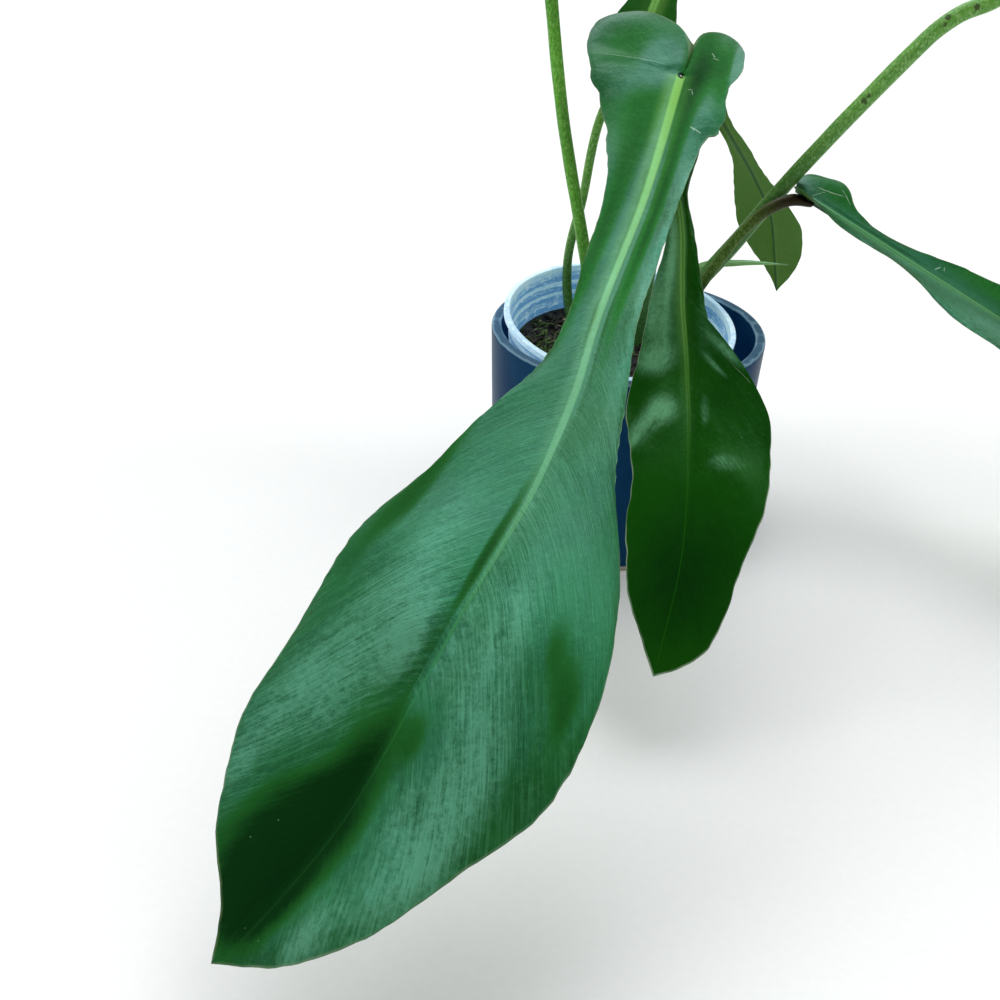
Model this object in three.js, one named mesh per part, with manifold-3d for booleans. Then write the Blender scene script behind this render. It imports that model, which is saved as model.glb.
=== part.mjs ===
// Potted philodendron joepii: a short creeping stem with seven long leaves, growing in a clear nursery
// pot that leans a little inside a glazed ceramic cachepot.
// Units are millimetres. +Z is up, the front is -Y, and the origin is the centre of the cachepot's
// flat underside.
import * as THREE from 'three';
import { mergeVertices } from 'three/addons/utils/BufferGeometryUtils.js';
import Module from 'manifold-3d';

const wasm = await Module();
wasm.setup();

// Driving dimensions
const GAP = 0.3; // clearance kept between pieces that touch
const CACHEPOT_HEIGHT = 112;
const CACHEPOT_RIM_RADIUS = 72.5;
const CACHEPOT_BASE_RADIUS = 70;
const CACHEPOT_WALL = 5.5;
const CACHEPOT_FLOOR = 7;
const FOOT_HEIGHT = 3; // bare clay below the glaze
const NURSERY_RIM_RADIUS = 61.5;
const NURSERY_BASE_RADIUS = 45;
const NURSERY_HEIGHT = 105;
const NURSERY_WALL = 1;
const NURSERY_RIM_CENTRE = [-4.6, -2, 117.3];
const NURSERY_TILT_X = 6.8; // degrees, back edge up
const NURSERY_TILT_Y = 3.8; // degrees, left edge up
const RIB_DEPTHS = [9, 15, 21, 27]; // rib rings below the nursery pot's rim
const DRAIN_HOLES = 5;
const DRAIN_RADIUS = 4;
const SOIL_DEPTH = 24; // soil surface below the nursery pot's rim
const BARK_CHIPS = 20;
const STEM_RADIUS = 8.5;
const BLADE_EDGE = 0.9; // thickness of a blade at its margin
const BLADE_RIB = 2.6; // thickness of a blade at its midrib
const RIB_HALF_WIDTH = 1.7;
const VEIN_SLANT = 0.35; // how far a vein runs forward for each millimetre outward
const DEGREE = Math.PI / 180;

// Curves and meshes

/** Cubic through the given rows: the value of each column at parameter t. */
function interpolate(knots, rows, t) {
  const last = knots.length - 2;
  let i = 0;
  while (i < last && t >= knots[i + 1]) i += 1;
  const h = knots[i + 1] - knots[i];
  const x = (t - knots[i]) / h;
  return rows[i].map((start, column) => {
    const end = rows[i + 1][column];
    const m0 = slope(knots, rows, i, column) * h;
    const m1 = slope(knots, rows, i + 1, column) * h;
    const stay = (1 + 2 * x) * (1 - x) ** 2 * start + x * (1 - x) ** 2 * m0;
    return stay + x * x * (3 - 2 * x) * end + x * x * (x - 1) * m1;
  });
}

/** Slope of one column at knot i, from the steps on either side. */
function slope(knots, rows, i, column) {
  const step = (k) => (rows[k + 1][column] - rows[k][column]) / (knots[k + 1] - knots[k]);
  if (i === 0) return step(0);
  if (i === knots.length - 1) return step(i - 1);
  const before = knots[i] - knots[i - 1];
  const after = knots[i + 1] - knots[i];
  return (after * step(i - 1) + before * step(i)) / (before + after);
}

/** Running straight-line length along a list of rows, from the first one. */
function runningLength(rows) {
  const lengths = [0];
  for (let i = 1; i < rows.length; i += 1) {
    const step = Math.hypot(...rows[i].map((value, column) => value - rows[i - 1][column]));
    lengths.push(lengths[i - 1] + step);
  }
  return lengths;
}

/** Closed geometry from points and triangles, with shared points merged and flat triangles dropped. */
function weld(positions, triangles) {
  const geometry = new THREE.BufferGeometry();
  geometry.setAttribute('position', new THREE.Float32BufferAttribute(positions, 3));
  if (triangles) geometry.setIndex(triangles);
  const merged = mergeVertices(geometry, 1e-3);
  const index = Array.from(merged.index.array);
  const kept = [];
  for (let i = 0; i < index.length; i += 3) {
    const [a, b, c] = index.slice(i, i + 3);
    if (a !== b && b !== c && c !== a) kept.push(a, b, c);
  }
  merged.setIndex(kept);
  return facingOut(merged);
}

/** Turns every triangle over where the enclosed volume comes out negative. */
function facingOut(geometry) {
  const points = geometry.attributes.position;
  const index = geometry.index.array;
  const corners = [new THREE.Vector3(), new THREE.Vector3(), new THREE.Vector3()];
  let volume = 0;
  for (let i = 0; i < index.length; i += 3) {
    corners.forEach((corner, k) => corner.fromBufferAttribute(points, index[i + k]));
    volume += corners[0].dot(corners[1].clone().cross(corners[2]));
  }
  if (volume < 0) geometry.setIndex(Array.from(index).reverse());
  return geometry;
}

/** A three.js geometry without its normals and uvs, merged into one closed skin. */
function closed(geometry) {
  return weld(Array.from(geometry.attributes.position.array), geometry.index && Array.from(geometry.index.array));
}

/** Solid for cutting and joining, from a closed geometry. */
function solid(geometry) {
  return new wasm.Manifold(new wasm.Mesh({
    numProp: 3,
    vertProperties: new Float32Array(geometry.attributes.position.array),
    triVerts: new Uint32Array(geometry.index.array),
  }));
}

/** Geometry of a solid's largest body. */
function skin(manifold) {
  const bodies = manifold.decompose().sort((a, b) => b.volume() - a.volume());
  const mesh = bodies[0].getMesh();
  return weld(Array.from(mesh.vertProperties), Array.from(mesh.triVerts));
}

/** Named mesh with a plain material of its own. */
function piece(name, geometry, colour, roughness, metalness = 0) {
  const flat = geometry.toNonIndexed();
  flat.computeVertexNormals();
  const mesh = new THREE.Mesh(flat, new THREE.MeshStandardMaterial({ color: colour, roughness, metalness }));
  mesh.name = name;
  return mesh;
}

/** Body of revolution from [radius, height] pairs that start and end on the axis or close on themselves. */
function turned(profile, segments) {
  const points = profile.map(([radius, height]) => new THREE.Vector2(radius, height));
  return closed(new THREE.LatheGeometry(points, segments).rotateX(Math.PI / 2));
}

/** Round tube along a curve, whose radius follows radiusAt from 0 at its start to 1 at its end. */
function tube(curve, radiusAt, sides, steps) {
  const ring = Array.from({ length: sides }, (_, i) => {
    const angle = (2 * Math.PI * i) / sides;
    return new THREE.Vector2(Math.cos(angle), Math.sin(angle));
  });
  const shape = new THREE.Shape(ring);
  const geometry = new THREE.ExtrudeGeometry(shape, { steps, extrudePath: curve, curveSegments: 1 });
  const centres = curve.getSpacedPoints(steps);
  const points = geometry.attributes.position;
  const point = new THREE.Vector3();
  for (let i = 0; i < points.count; i += 1) {
    point.fromBufferAttribute(points, i);
    const distances = centres.map((centre) => centre.distanceToSquared(point));
    const nearest = distances.indexOf(Math.min(...distances));
    point.sub(centres[nearest]).multiplyScalar(radiusAt(nearest / steps)).add(centres[nearest]);
    points.setXYZ(i, point.x, point.y, point.z);
  }
  return closed(geometry);
}

/** Repeatable random numbers between 0 and 1. */
function seeded(seed) {
  let state = seed;
  return () => {
    state = (state * 16807) % 2147483647;
    return state / 2147483647;
  };
}

// Pots and soil

/** Cylindrical glazed pot with a rounded rim, standing on a flat clay foot. */
function cachepotGeometry() {
  const inner = CACHEPOT_RIM_RADIUS - CACHEPOT_WALL;
  return turned([
    [0, 0], [CACHEPOT_BASE_RADIUS - 2.2, 0], [CACHEPOT_BASE_RADIUS - 0.8, 0.9],
    [CACHEPOT_BASE_RADIUS - 0.5, FOOT_HEIGHT], [CACHEPOT_BASE_RADIUS, FOOT_HEIGHT + 0.5],
    [CACHEPOT_RIM_RADIUS, CACHEPOT_HEIGHT - 2.4], [CACHEPOT_RIM_RADIUS - 0.9, CACHEPOT_HEIGHT - 0.5],
    [CACHEPOT_RIM_RADIUS - 2.7, CACHEPOT_HEIGHT], [inner + 0.8, CACHEPOT_HEIGHT - 0.5],
    [inner, CACHEPOT_HEIGHT - 2.2], [CACHEPOT_BASE_RADIUS - CACHEPOT_WALL, CACHEPOT_FLOOR + 6],
    [CACHEPOT_BASE_RADIUS - CACHEPOT_WALL - 5, CACHEPOT_FLOOR], [0, CACHEPOT_FLOOR],
  ], 48);
}

/** Placement of the leaning nursery pot, whose own origin is the centre of its rim. */
function nurseryPlacement() {
  const turn = new THREE.Euler(NURSERY_TILT_X * DEGREE, NURSERY_TILT_Y * DEGREE, 0);
  const matrix = new THREE.Matrix4().makeRotationFromEuler(turn);
  return matrix.setPosition(...NURSERY_RIM_CENTRE);
}

/** Outer radius of the nursery pot's plain wall at a height below its rim. */
function nurseryRadius(below) {
  const top = NURSERY_RIM_RADIUS - 2.2;
  return top - ((top - NURSERY_BASE_RADIUS) * below) / NURSERY_HEIGHT;
}

/** Clear nursery pot: rolled rim, rib rings near the top and a floor with drain holes. */
function nurseryGeometry() {
  const outside = [[NURSERY_BASE_RADIUS - 1.5, -NURSERY_HEIGHT], [NURSERY_BASE_RADIUS, 1.5 - NURSERY_HEIGHT]];
  const inside = [];
  [...RIB_DEPTHS].reverse().forEach((below) => {
    const radius = nurseryRadius(below);
    outside.push([radius, -below - 1.6], [radius + 0.8, -below], [radius, 1.6 - below]);
    inside.unshift([radius - NURSERY_WALL, 1.6 - below]);
  });
  const wall = nurseryRadius(3.5);
  outside.push([wall, -3.5], [NURSERY_RIM_RADIUS, -3], [NURSERY_RIM_RADIUS, -0.6]);
  outside.push([NURSERY_RIM_RADIUS - 1, 0], [wall - NURSERY_WALL + 0.3, 0], [wall - NURSERY_WALL, -0.8]);
  inside.push([NURSERY_BASE_RADIUS - NURSERY_WALL, 3 - NURSERY_HEIGHT], [NURSERY_BASE_RADIUS - 2, 1.4 - NURSERY_HEIGHT]);
  const shell = turned([[0, -NURSERY_HEIGHT], ...outside, ...inside, [0, 1.4 - NURSERY_HEIGHT]], 36);
  let pot = solid(shell);
  for (let i = 0; i < DRAIN_HOLES; i += 1) {
    const angle = (2 * Math.PI * i) / DRAIN_HOLES;
    const drill = new THREE.CylinderGeometry(DRAIN_RADIUS, DRAIN_RADIUS, 12, 8).rotateX(Math.PI / 2);
    drill.translate(30 * Math.cos(angle), 30 * Math.sin(angle), -NURSERY_HEIGHT);
    pot = pot.subtract(solid(closed(drill)));
  }
  return skin(pot).applyMatrix4(nurseryPlacement());
}

/** Height of the soil's surface over its mean level, in the nursery pot's frame. */
function soilRelief(x, y) {
  const mound = 3 * Math.exp(-(x * x + (y - 18) ** 2) / 900);
  return mound + 1.1 * Math.sin(x / 5.1 + 0.6) * Math.cos(y / 4.3) + 0.7 * Math.sin(x / 2.3 - y / 2.9);
}

/** Potting mix that fills the nursery pot, with bark chips on top. */
function soilGeometry(standing) {
  const radius = nurseryRadius(SOIL_DEPTH) - NURSERY_WALL - GAP - 0.4;
  const foot = NURSERY_BASE_RADIUS - NURSERY_WALL - GAP - 2.2;
  const profile = [[0, 1.8 - NURSERY_HEIGHT], [foot, 1.8 - NURSERY_HEIGHT], [foot + 1, 5 - NURSERY_HEIGHT]];
  profile.push([radius, -SOIL_DEPTH]);
  for (let ring = 6; ring >= 0; ring -= 1) {
    profile.push([(radius * ring) / 7, -SOIL_DEPTH]);
  }
  const mass = turned(profile, 32);
  const points = mass.attributes.position;
  for (let i = 0; i < points.count; i += 1) {
    const inside = Math.hypot(points.getX(i), points.getY(i)) < radius - 1;
    if (inside && points.getZ(i) > -SOIL_DEPTH - 1) {
      points.setZ(i, -SOIL_DEPTH + soilRelief(points.getX(i), points.getY(i)));
    }
  }
  let soil = solid(mass.applyMatrix4(nurseryPlacement()));
  barkChips(radius).forEach((chip) => {
    soil = soil.add(solid(chip));
  });
  standing.forEach((root) => {
    soil = soil.subtract(root);
  });
  return skin(soil);
}

/** Flat bark chips, each sunk half into the soil at a random place and turn. */
function barkChips(radius) {
  const random = seeded(41);
  return Array.from({ length: BARK_CHIPS }, () => {
    const chip = new THREE.BoxGeometry(5 + 6 * random(), 3 + 4 * random(), 2.5 + 2 * random());
    const away = (radius - 8) * Math.sqrt(random());
    const angle = 2 * Math.PI * random();
    chip.rotateX(0.5 * (random() - 0.5)).rotateY(0.7 * (random() - 0.5)).rotateZ(3 * random());
    const x = away * Math.cos(angle);
    const y = away * Math.sin(angle);
    chip.translate(x, y, soilRelief(x, y) - SOIL_DEPTH + 0.4);
    return closed(chip).applyMatrix4(nurseryPlacement());
  });
}

// Leaf blades

/**
 * Form of one blade. Each spine row holds x, y, z of the midrib, then in degrees the roll about it, the
 * rise of the left and of the right half, and how much each half bends down for every 10 mm outward.
 * The second row is the point where the petiole joins; u runs along the midrib from there and v across,
 * with v below 0 on the left.
 */
class BladeForm {
  constructor({ spine, side, left, right, wave, edge = BLADE_EDGE, rib = BLADE_RIB }) {
    this.spine = spine;
    const lengths = runningLength(spine.map((row) => row.slice(0, 3)));
    this.knots = lengths.map((length) => length - lengths[1]);
    this.side = new THREE.Vector3(...side);
    this.outlines = { left, right };
    this.wave = wave;
    this.edge = edge;
    this.rib = rib;
  }

  /** Midrib point at u. */
  centre(u) {
    return new THREE.Vector3(...interpolate(this.knots, this.spine, u));
  }

  /** Midrib point, direction across, direction up and the bend values at u. */
  frame(u) {
    const inside = THREE.MathUtils.clamp(u, this.knots[0] + 0.6, this.knots.at(-1) - 0.6);
    const [roll, riseLeft, riseRight, curl] = interpolate(this.knots, this.spine, inside).slice(3);
    const along = this.centre(inside + 0.5).sub(this.centre(inside - 0.5)).normalize();
    const level = this.side.clone().addScaledVector(along, -along.dot(this.side)).normalize();
    const raised = along.clone().cross(level);
    const across = level.clone().multiplyScalar(Math.cos(roll * DEGREE));
    across.addScaledVector(raised, Math.sin(roll * DEGREE));
    const up = along.clone().cross(across);
    const centre = this.centre(inside).addScaledVector(along, u - inside);
    return { centre, across, up, riseLeft, riseRight, curl };
  }

  /** Point of the blade's middle surface, where share is the part of the way out to the margin. */
  point(u, v, share) {
    const { centre, across, up, riseLeft, riseRight, curl } = this.frame(u);
    const rise = (v < 0 ? riseLeft : riseRight) * DEGREE;
    const bend = (curl * DEGREE) / 10;
    const reach = Math.abs(v);
    const out = (Math.sin(rise) - Math.sin(rise - bend * reach)) / bend;
    const lift = (Math.cos(rise - bend * reach) - Math.cos(rise)) / bend;
    const { height, length, phase } = this.wave;
    const swing = Math.sin((2 * Math.PI * u) / length + phase + (v < 0 ? 1.9 : 0));
    const ripple = height * share ** 3 * Math.min(1, reach / 15) * swing;
    const point = centre.addScaledVector(across, Math.sign(v) * out).addScaledVector(up, lift + ripple);
    return { point, up };
  }

  /** Evenly spaced [u, v] points around one half's margin, from behind the joint to the tip. */
  margin(half, rows) {
    const outline = [...this.outlines[half], [this.knots.at(-1), 0]];
    const lengths = runningLength(outline);
    return Array.from({ length: rows + 1 }, (_, i) => {
      return interpolate(lengths, outline, (lengths.at(-1) * i) / rows);
    });
  }

  /** Thickness at a distance from the midrib and a share of the way along it. */
  thickness(away, along) {
    const ridge = Math.max(0, 1 - away / RIB_HALF_WIDTH) * (1 - 0.75 * along);
    return this.edge + (this.rib - this.edge) * ridge;
  }
}

/** Places along the midrib where the rows of both halves start: all at the joint for the ears' rows. */
function rowStarts(form, rows) {
  const halves = ['left', 'right'].map((half) => form.margin(half, rows));
  const starts = halves[0].map((_, row) => {
    const reached = halves.map((margin) => margin[row][0] - VEIN_SLANT * Math.abs(margin[row][1]));
    const start = (reached[0] + reached[1]) / 2;
    return start > 0.5 ? start : 0;
  });
  starts[rows] = form.knots.at(-1);
  return starts;
}

/** Upper and lower points of one half, row by row from behind the joint to the tip. */
function bladeHalfPoints(form, half, rows, width, growth) {
  const length = form.knots.at(-1);
  const starts = rowStarts(form, rows);
  return form.margin(half, rows).flatMap(([uOut, vOut], row) => {
    const uIn = starts[row];
    const reach = Math.hypot(uOut - uIn, vOut);
    const ribShare = Math.min(0.3, RIB_HALF_WIDTH / Math.max(reach, 0.01));
    return Array.from({ length: width }, (_, column) => {
      const even = (column - 1) / (width - 2);
      const share = column === 0 ? 0 : ribShare + (1 - ribShare) * even;
      const u = uIn + (uOut - uIn) * share;
      const v = vOut * share;
      const { point, up } = form.point(u, v, share);
      const thick = form.thickness(Math.hypot(Math.min(u, 0), v), Math.max(u, 0) / length);
      const above = point.clone().addScaledVector(up, form.edge / 2 + growth.above);
      const below = point.clone().addScaledVector(up, form.edge / 2 - thick - growth.below);
      return [...above.toArray(), ...below.toArray()];
    }).flat();
  });
}

/** Triangles of one half, split alike above and below, with the walls round its margin. */
function bladeHalfTriangles(start, rows, width, mirrored) {
  const triangles = [];
  const at = (row, column, face) => start + 2 * (row * width + column) + face;
  const quad = (a, b, c, d, turned) => {
    if (turned === mirrored) triangles.push(a, b, c, a, c, d);
    else triangles.push(a, c, b, a, d, c);
  };
  for (let row = 0; row < rows; row += 1) {
    for (let column = 0; column < width - 1; column += 1) {
      const corners = [[row, column], [row, column + 1], [row + 1, column + 1], [row + 1, column]];
      quad(...corners.map(([r, c]) => at(r, c, 0)), false);
      quad(...corners.map(([r, c]) => at(r, c, 1)), true);
    }
    const rim = width - 1;
    quad(at(row, rim, 0), at(row, rim, 1), at(row + 1, rim, 1), at(row + 1, rim, 0), false);
  }
  for (let column = 0; column < width - 1; column += 1) {
    quad(at(0, column, 0), at(0, column, 1), at(0, column + 1, 1), at(0, column + 1, 0), false);
  }
  return triangles;
}

/**
 * Closed blade of two halves that share the midrib's points, each a grid of rows that run out along the
 * veins. growth thickens it above and below for use as a cutter.
 */
function bladeGeometry(form, rows, columns, growth = { above: 0, below: 0 }) {
  const width = columns + 2;
  const left = bladeHalfPoints(form, 'left', rows, width, growth);
  const right = bladeHalfPoints(form, 'right', rows, width, growth);
  const triangles = [
    ...bladeHalfTriangles(0, rows, width, false),
    ...bladeHalfTriangles(left.length / 3, rows, width, true),
  ];
  return weld([...left, ...right], triangles);
}

/** Outline stretched along and across the midrib, or swapped to the other half by a negative across. */
function stretched(outline, along, across) {
  return outline.map(([u, v]) => [u * along, v * across]);
}

// The seven leaves. An outline starts behind the joint and goes round the ear, in at the waist, round the
// broad front lobe and on toward the tip.

const LARGE_LEFT = [
  [-20, -0.7], [-33, -11], [-40, -30], [-33, -50], [-21, -51], [4, -43], [16, -36], [36, -27],
  [60, -21], [112, -16], [155, -13], [190, -20], [235, -34], [265, -43], [320, -45], [364, -41],
  [390, -28], [409, -6],
];
const LARGE_RIGHT = [
  [-19, 0.7], [-29, 4], [-30, 11], [-19, 24], [-2, 26], [7, 22], [27, 24], [35, 23], [38, 17],
  [51, 16], [92, 15], [150, 16], [193, 19], [230, 28], [272, 46], [305, 55], [333, 53], [355, 41],
  [385, 27], [407, 13],
];

const LEAVES = {
  a: {
    blade: {
      side: [1, -0.3, 0],
      spine: [
        [32, 52, 276, 0, 8, 8, 4], [14, -5, 237, 0, 8, 8, 4], [-4, -62, 200, 0, 16, 16, 4],
        [-29, -135, 167, 0, 18, 18, 3], [-39, -172, 153, 0, 16, 16, 3], [-52, -203, 143, 2, 12, 12, 3],
        [-85, -268, 116, 4, 12, 12, 4], [-112, -305, 82, 4, 12, 12, 4], [-146, -330, 49, 0, 12, 12, 4],
      ],
      left: LARGE_LEFT,
      right: LARGE_RIGHT,
      wave: { height: 1.6, length: 74, phase: 0.8 },
    },
    petiole: { path: [[-5, 17, 94], [-5, 26, 150], [3, 22, 205], [10, 6, 233], [15, -8, 237.5]], radius: 4.1 },
    rows: 36,
    columns: 3,
  },
  b: {
    blade: {
      side: [1, 0, 0],
      spine: [
        [3, 12, 227, 0, 6, 6, 4], [9, -22, 203, 0, 10, 10, 4], [13, -50, 184, 0, 16, 16, 4],
        [13, -80, 155, 0, 16, 16, 4], [15, -100, 132, 0, 12, 12, 4], [15, -122, 111, 0, 10, 10, 5],
        [11, -160, 75, 0, 10, 10, 5], [0, -190, 36, 0, 12, 12, 4],
      ],
      left: [
        [-14, -0.6], [-24, -6], [-27, -16], [-18, -24], [-4, -22], [8, -16], [20, -9], [45, -8],
        [70, -14], [100, -22], [125, -27], [140, -26], [160, -24], [175, -25], [192, -23], [208, -20],
        [226, -9],
      ],
      right: [
        [-14, 0.6], [-22, 4], [-24, 11], [-17, 16], [-4, 15], [8, 10], [17, 6], [45, 6], [68, 9],
        [94, 14], [105, 20], [115, 29], [126, 35], [140, 36], [161, 34], [190, 25], [211, 22], [224, 18],
        [234, 9],
      ],
      wave: { height: 1.4, length: 58, phase: 2.2 },
    },
    petiole: { path: [[6, 12, 94], [9, 5, 140], [10, -8, 184], [9, -21, 201], [10, -26, 204]], radius: 3.8 },
    rows: 28,
    columns: 2,
  },
  c: {
    blade: {
      side: [0, 1, 0],
      spine: [
        [68, 22, 186, 22, 72, 14, 6], [87, 10, 178, 24, 60, 14, 6], [104, 0, 170, 26, 24, 16, 4],
        [133, -15, 156, 26, 18, 18, 4], [178, -35, 134, 22, 16, 16, 4], [225, -60, 112, 14, 12, 12, 4],
        [270, -84, 82, 6, 12, 12, 4], [305, -98, 48, 0, 12, 12, 4],
      ],
      left: [
        [-8, -0.6], [-13, -6], [-12, -14], [-3, -19], [9, -18], [18, -13], [26, -11], [42, -11],
        [58, -13], [75, -20], [100, -30], [130, -38], [160, -40], [200, -34], [240, -20], [268, -7],
      ],
      right: [
        [-8, 0.6], [-11, 8], [-9, 18], [-2, 20], [8, 21], [13, 18], [19, 12], [30, 8], [50, 8],
        [70, 11], [88, 17], [105, 23], [130, 33], [160, 38], [200, 33], [240, 19], [268, 6],
      ],
      wave: { height: 1.5, length: 62, phase: 0.3 },
    },
    petiole: {
      path: [[22, 12, 93], [39, 10, 132], [49, 10, 150], [58, 10, 163], [67, 10, 172], [78, 11, 177], [90, 9, 177]],
      radius: 2.6,
    },
    rows: 26,
    columns: 2,
  },
  d: {
    blade: {
      side: [-1, 0, -0.4],
      spine: [
        [24, 52, 236, 0, 8, 8, 5], [37, 60, 219, 0, 8, 8, 5], [51, 66, 200, 0, 12, 12, 4],
        [77, 85, 166, 0, 14, 14, 4], [90, 92, 145, 0, 12, 12, 4], [98, 97, 119, 0, 12, 12, 4],
        [104, 100, 95, 0, 12, 12, 4],
      ],
      left: [
        [-7, -0.6], [-12, -3], [-13, -7], [-8, -9], [0, -8], [10, -6], [22, -4], [45, -5], [70, -6],
        [82, -8], [98, -12], [114, -18], [124, -18], [132, -16], [141, -10],
      ],
      right: [
        [-7, 0.6], [-13, 4], [-15, 11], [-8, 14], [4, 12], [14, 6], [26, 3.5], [37, 4], [49, 6], [64, 11],
        [80, 16], [95, 19], [108, 17], [120, 12], [132, 6], [142, 2],
      ],
      wave: { height: 0.8, length: 44, phase: 1.1 },
    },
    petiole: { path: [[0, 25, 94], [9, 41, 140], [22, 54, 185], [33, 60, 211], [39, 61, 219]], radius: 2.6 },
    rows: 22,
    columns: 2,
  },
  e: {
    blade: {
      side: [-1, 0, 0],
      spine: [
        [-3, 44, 224, 0, 8, 8, 5], [0, 58, 241, 0, 8, 8, 5], [8, 70, 262, 0, 14, 14, 4],
        [19, 88, 300, 0, 14, 14, 4], [30, 108, 345, 0, 12, 12, 5], [40, 130, 385, 0, 12, 12, 5],
        [52, 158, 415, 0, 12, 12, 5],
      ],
      left: [
        [-10, -0.6], [-18, -5], [-19, -14], [-10, -20], [5, -19], [17, -14], [26, -11], [40, -10],
        [60, -11], [90, -18], [120, -25], [150, -23], [180, -14], [200, -5],
      ],
      right: [
        [-10, 0.6], [-17, 5], [-18, 12], [-10, 17], [4, 17], [12, 15], [22, 12], [34, 9], [60, 11],
        [90, 18], [120, 25], [150, 23], [180, 14], [200, 5],
      ],
      wave: { height: 1.2, length: 50, phase: 0.2 },
    },
    petiole: {
      path: [[-26, 31, 93], [-30, 40, 110], [-31, 45, 130], [-25, 45, 165], [-18, 46, 208], [-6, 53, 232], [2, 58, 241]],
      radius: 2.4,
    },
    rows: 24,
    columns: 2,
  },
  f: {
    blade: {
      side: [0, 1, 0],
      spine: [
        [165, 32, 322, 0, 8, 8, 5], [205, 20, 312, 0, 8, 8, 5], [255, 6, 312, 4, 16, 16, 4],
        [310, -10, 296, 6, 18, 18, 3], [355, -24, 272, 6, 14, 14, 3], [400, -38, 240, 4, 12, 12, 4],
        [450, -52, 196, 2, 12, 12, 4], [485, -62, 150, 0, 12, 12, 4],
      ],
      left: stretched(LARGE_RIGHT, 0.81, -0.9),
      right: stretched(LARGE_LEFT, 0.81, -0.9),
      wave: { height: 1.8, length: 70, phase: 1.4 },
    },
    petiole: {
      path: [[12, 19, 94], [28, 20, 116], [44, 20, 136], [82, 20, 190], [118, 20, 235], [152, 20, 268], [182, 20, 294], [207, 19, 312]],
      radius: 4.7,
    },
    rows: 30,
    columns: 2,
  },
  g: {
    blade: {
      side: [0, -1, 0],
      spine: [
        [-22, 12, 324, 0, 8, 8, 5], [-55, 24, 332, 0, 8, 8, 5], [-98, 40, 348, 0, 16, 16, 4],
        [-150, 56, 356, 0, 16, 16, 3], [-200, 70, 350, 0, 12, 12, 4], [-250, 84, 330, 0, 12, 12, 4],
        [-300, 98, 298, 0, 12, 12, 4],
      ],
      left: stretched(LARGE_LEFT, 0.66, 0.8),
      right: stretched(LARGE_RIGHT, 0.66, 0.85),
      wave: { height: 1.5, length: 60, phase: 0.9 },
    },
    petiole: {
      path: [[-14, 23, 94], [-19, 21, 122], [-25, 20, 149], [-39, 20, 211], [-47.5, 20, 264], [-53, 22, 305], [-57, 25, 333]],
      radius: 3.8,
    },
    rows: 28,
    columns: 2,
  },
};

const STEM_PATH = [[-32, 36, 91], [-10, 24, 96], [12, 18, 97], [31, 7, 90]];

const CATAPHYLL = {
  side: [0, 1, 0],
  spine: [
    [14, 29, 84, 0, 62, 62, 0.1], [16, 30, 92, 0, 62, 62, 0.1], [30, 33, 119, 0, 56, 56, 0.1],
    [43, 35, 131, 0, 50, 50, 0.1], [62, 35.5, 134, 0, 46, 46, 0.1], [90, 35, 135, 0, 40, 40, 0.1],
  ],
  left: [[-4, -2.4], [4, -3.4], [24, -3.4], [50, -2.8], [72, -1.7], [88, -0.8]],
  right: [[-4, 2.4], [4, 3.4], [24, 3.4], [50, 2.8], [72, 1.7], [88, 0.8]],
  wave: { height: 0, length: 40, phase: 0 },
  edge: 0.8,
  rib: 1.6,
};

/** Smooth curve through a list of [x, y, z] points. */
function curveThrough(path) {
  return new THREE.CatmullRomCurve3(path.map((point) => new THREE.Vector3(...point)), false, 'centripetal');
}

/** Petiole: thicker toward its sheath at the foot, then even, and a little swollen at the joint. */
function petioleGeometry({ path, radius }, growth = 0) {
  const girth = (t) => radius * (1 + 0.28 * (1 - t) ** 6 + 0.1 * t ** 14) + growth;
  return tube(curveThrough(path), girth, 7, 12);
}

/** Short creeping stem, blunt at both ends. */
function stemGeometry(growth = 0) {
  const girth = (t) => STEM_RADIUS * (0.55 + 0.45 * Math.sin(Math.PI * t) ** 0.5) + growth;
  return tube(curveThrough(STEM_PATH), girth, 9, 8);
}

/** Petiole cut back to clear the stem below it and the blade above it. */
function fittedPetiole(leaf, form, stemCutter) {
  const bladeCutter = bladeGeometry(form, leaf.rows, leaf.columns, { above: 12, below: GAP });
  return skin(solid(petioleGeometry(leaf.petiole)).subtract(stemCutter).subtract(solid(bladeCutter)));
}

const plant = new THREE.Group();
plant.add(piece('cachepot', cachepotGeometry(), 0x10304f, 0.2));
plant.add(piece('nursery_pot', nurseryGeometry(), 0xc9d3d6, 0.35));

const stemCutter = solid(stemGeometry(GAP));
const standing = [stemCutter];
plant.add(piece('stem', stemGeometry(), 0x5a5a34, 0.7));

Object.entries(LEAVES).forEach(([letter, leaf]) => {
  const form = new BladeForm(leaf.blade);
  plant.add(piece(`leaf_${letter}_blade`, bladeGeometry(form, leaf.rows, leaf.columns), 0x1e6e2d, 0.3));
  plant.add(piece(`leaf_${letter}_petiole`, fittedPetiole(leaf, form, stemCutter), 0x4f7a2e, 0.45));
  standing.push(solid(petioleGeometry(leaf.petiole, GAP)));
});

const sheath = new BladeForm(CATAPHYLL);
const sheathSolid = solid(bladeGeometry(sheath, 12, 1)).subtract(stemCutter);
plant.add(piece('cataphyll', skin(sheathSolid), 0x8fb04a, 0.5));
standing.push(solid(bladeGeometry(sheath, 12, 1, { above: GAP, below: GAP })));
plant.add(piece('soil', soilGeometry(standing), 0x2a1d14, 0.95));

export default plant;
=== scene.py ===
"""A potted philodendron joepii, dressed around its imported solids.

The plant has seven long fiddle-shaped leaves on upright petioles, a pale sheath and a short creeping
stem. It grows in a clear nursery pot that leans inside a navy glazed cachepot. Lengths are given in
millimetres in the classes below and become metres when a mesh is made.
"""
import logging
from dataclasses import dataclass, field, replace
from enum import Enum
from functools import cache
from typing import Any, Iterable, Protocol, Sequence

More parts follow.
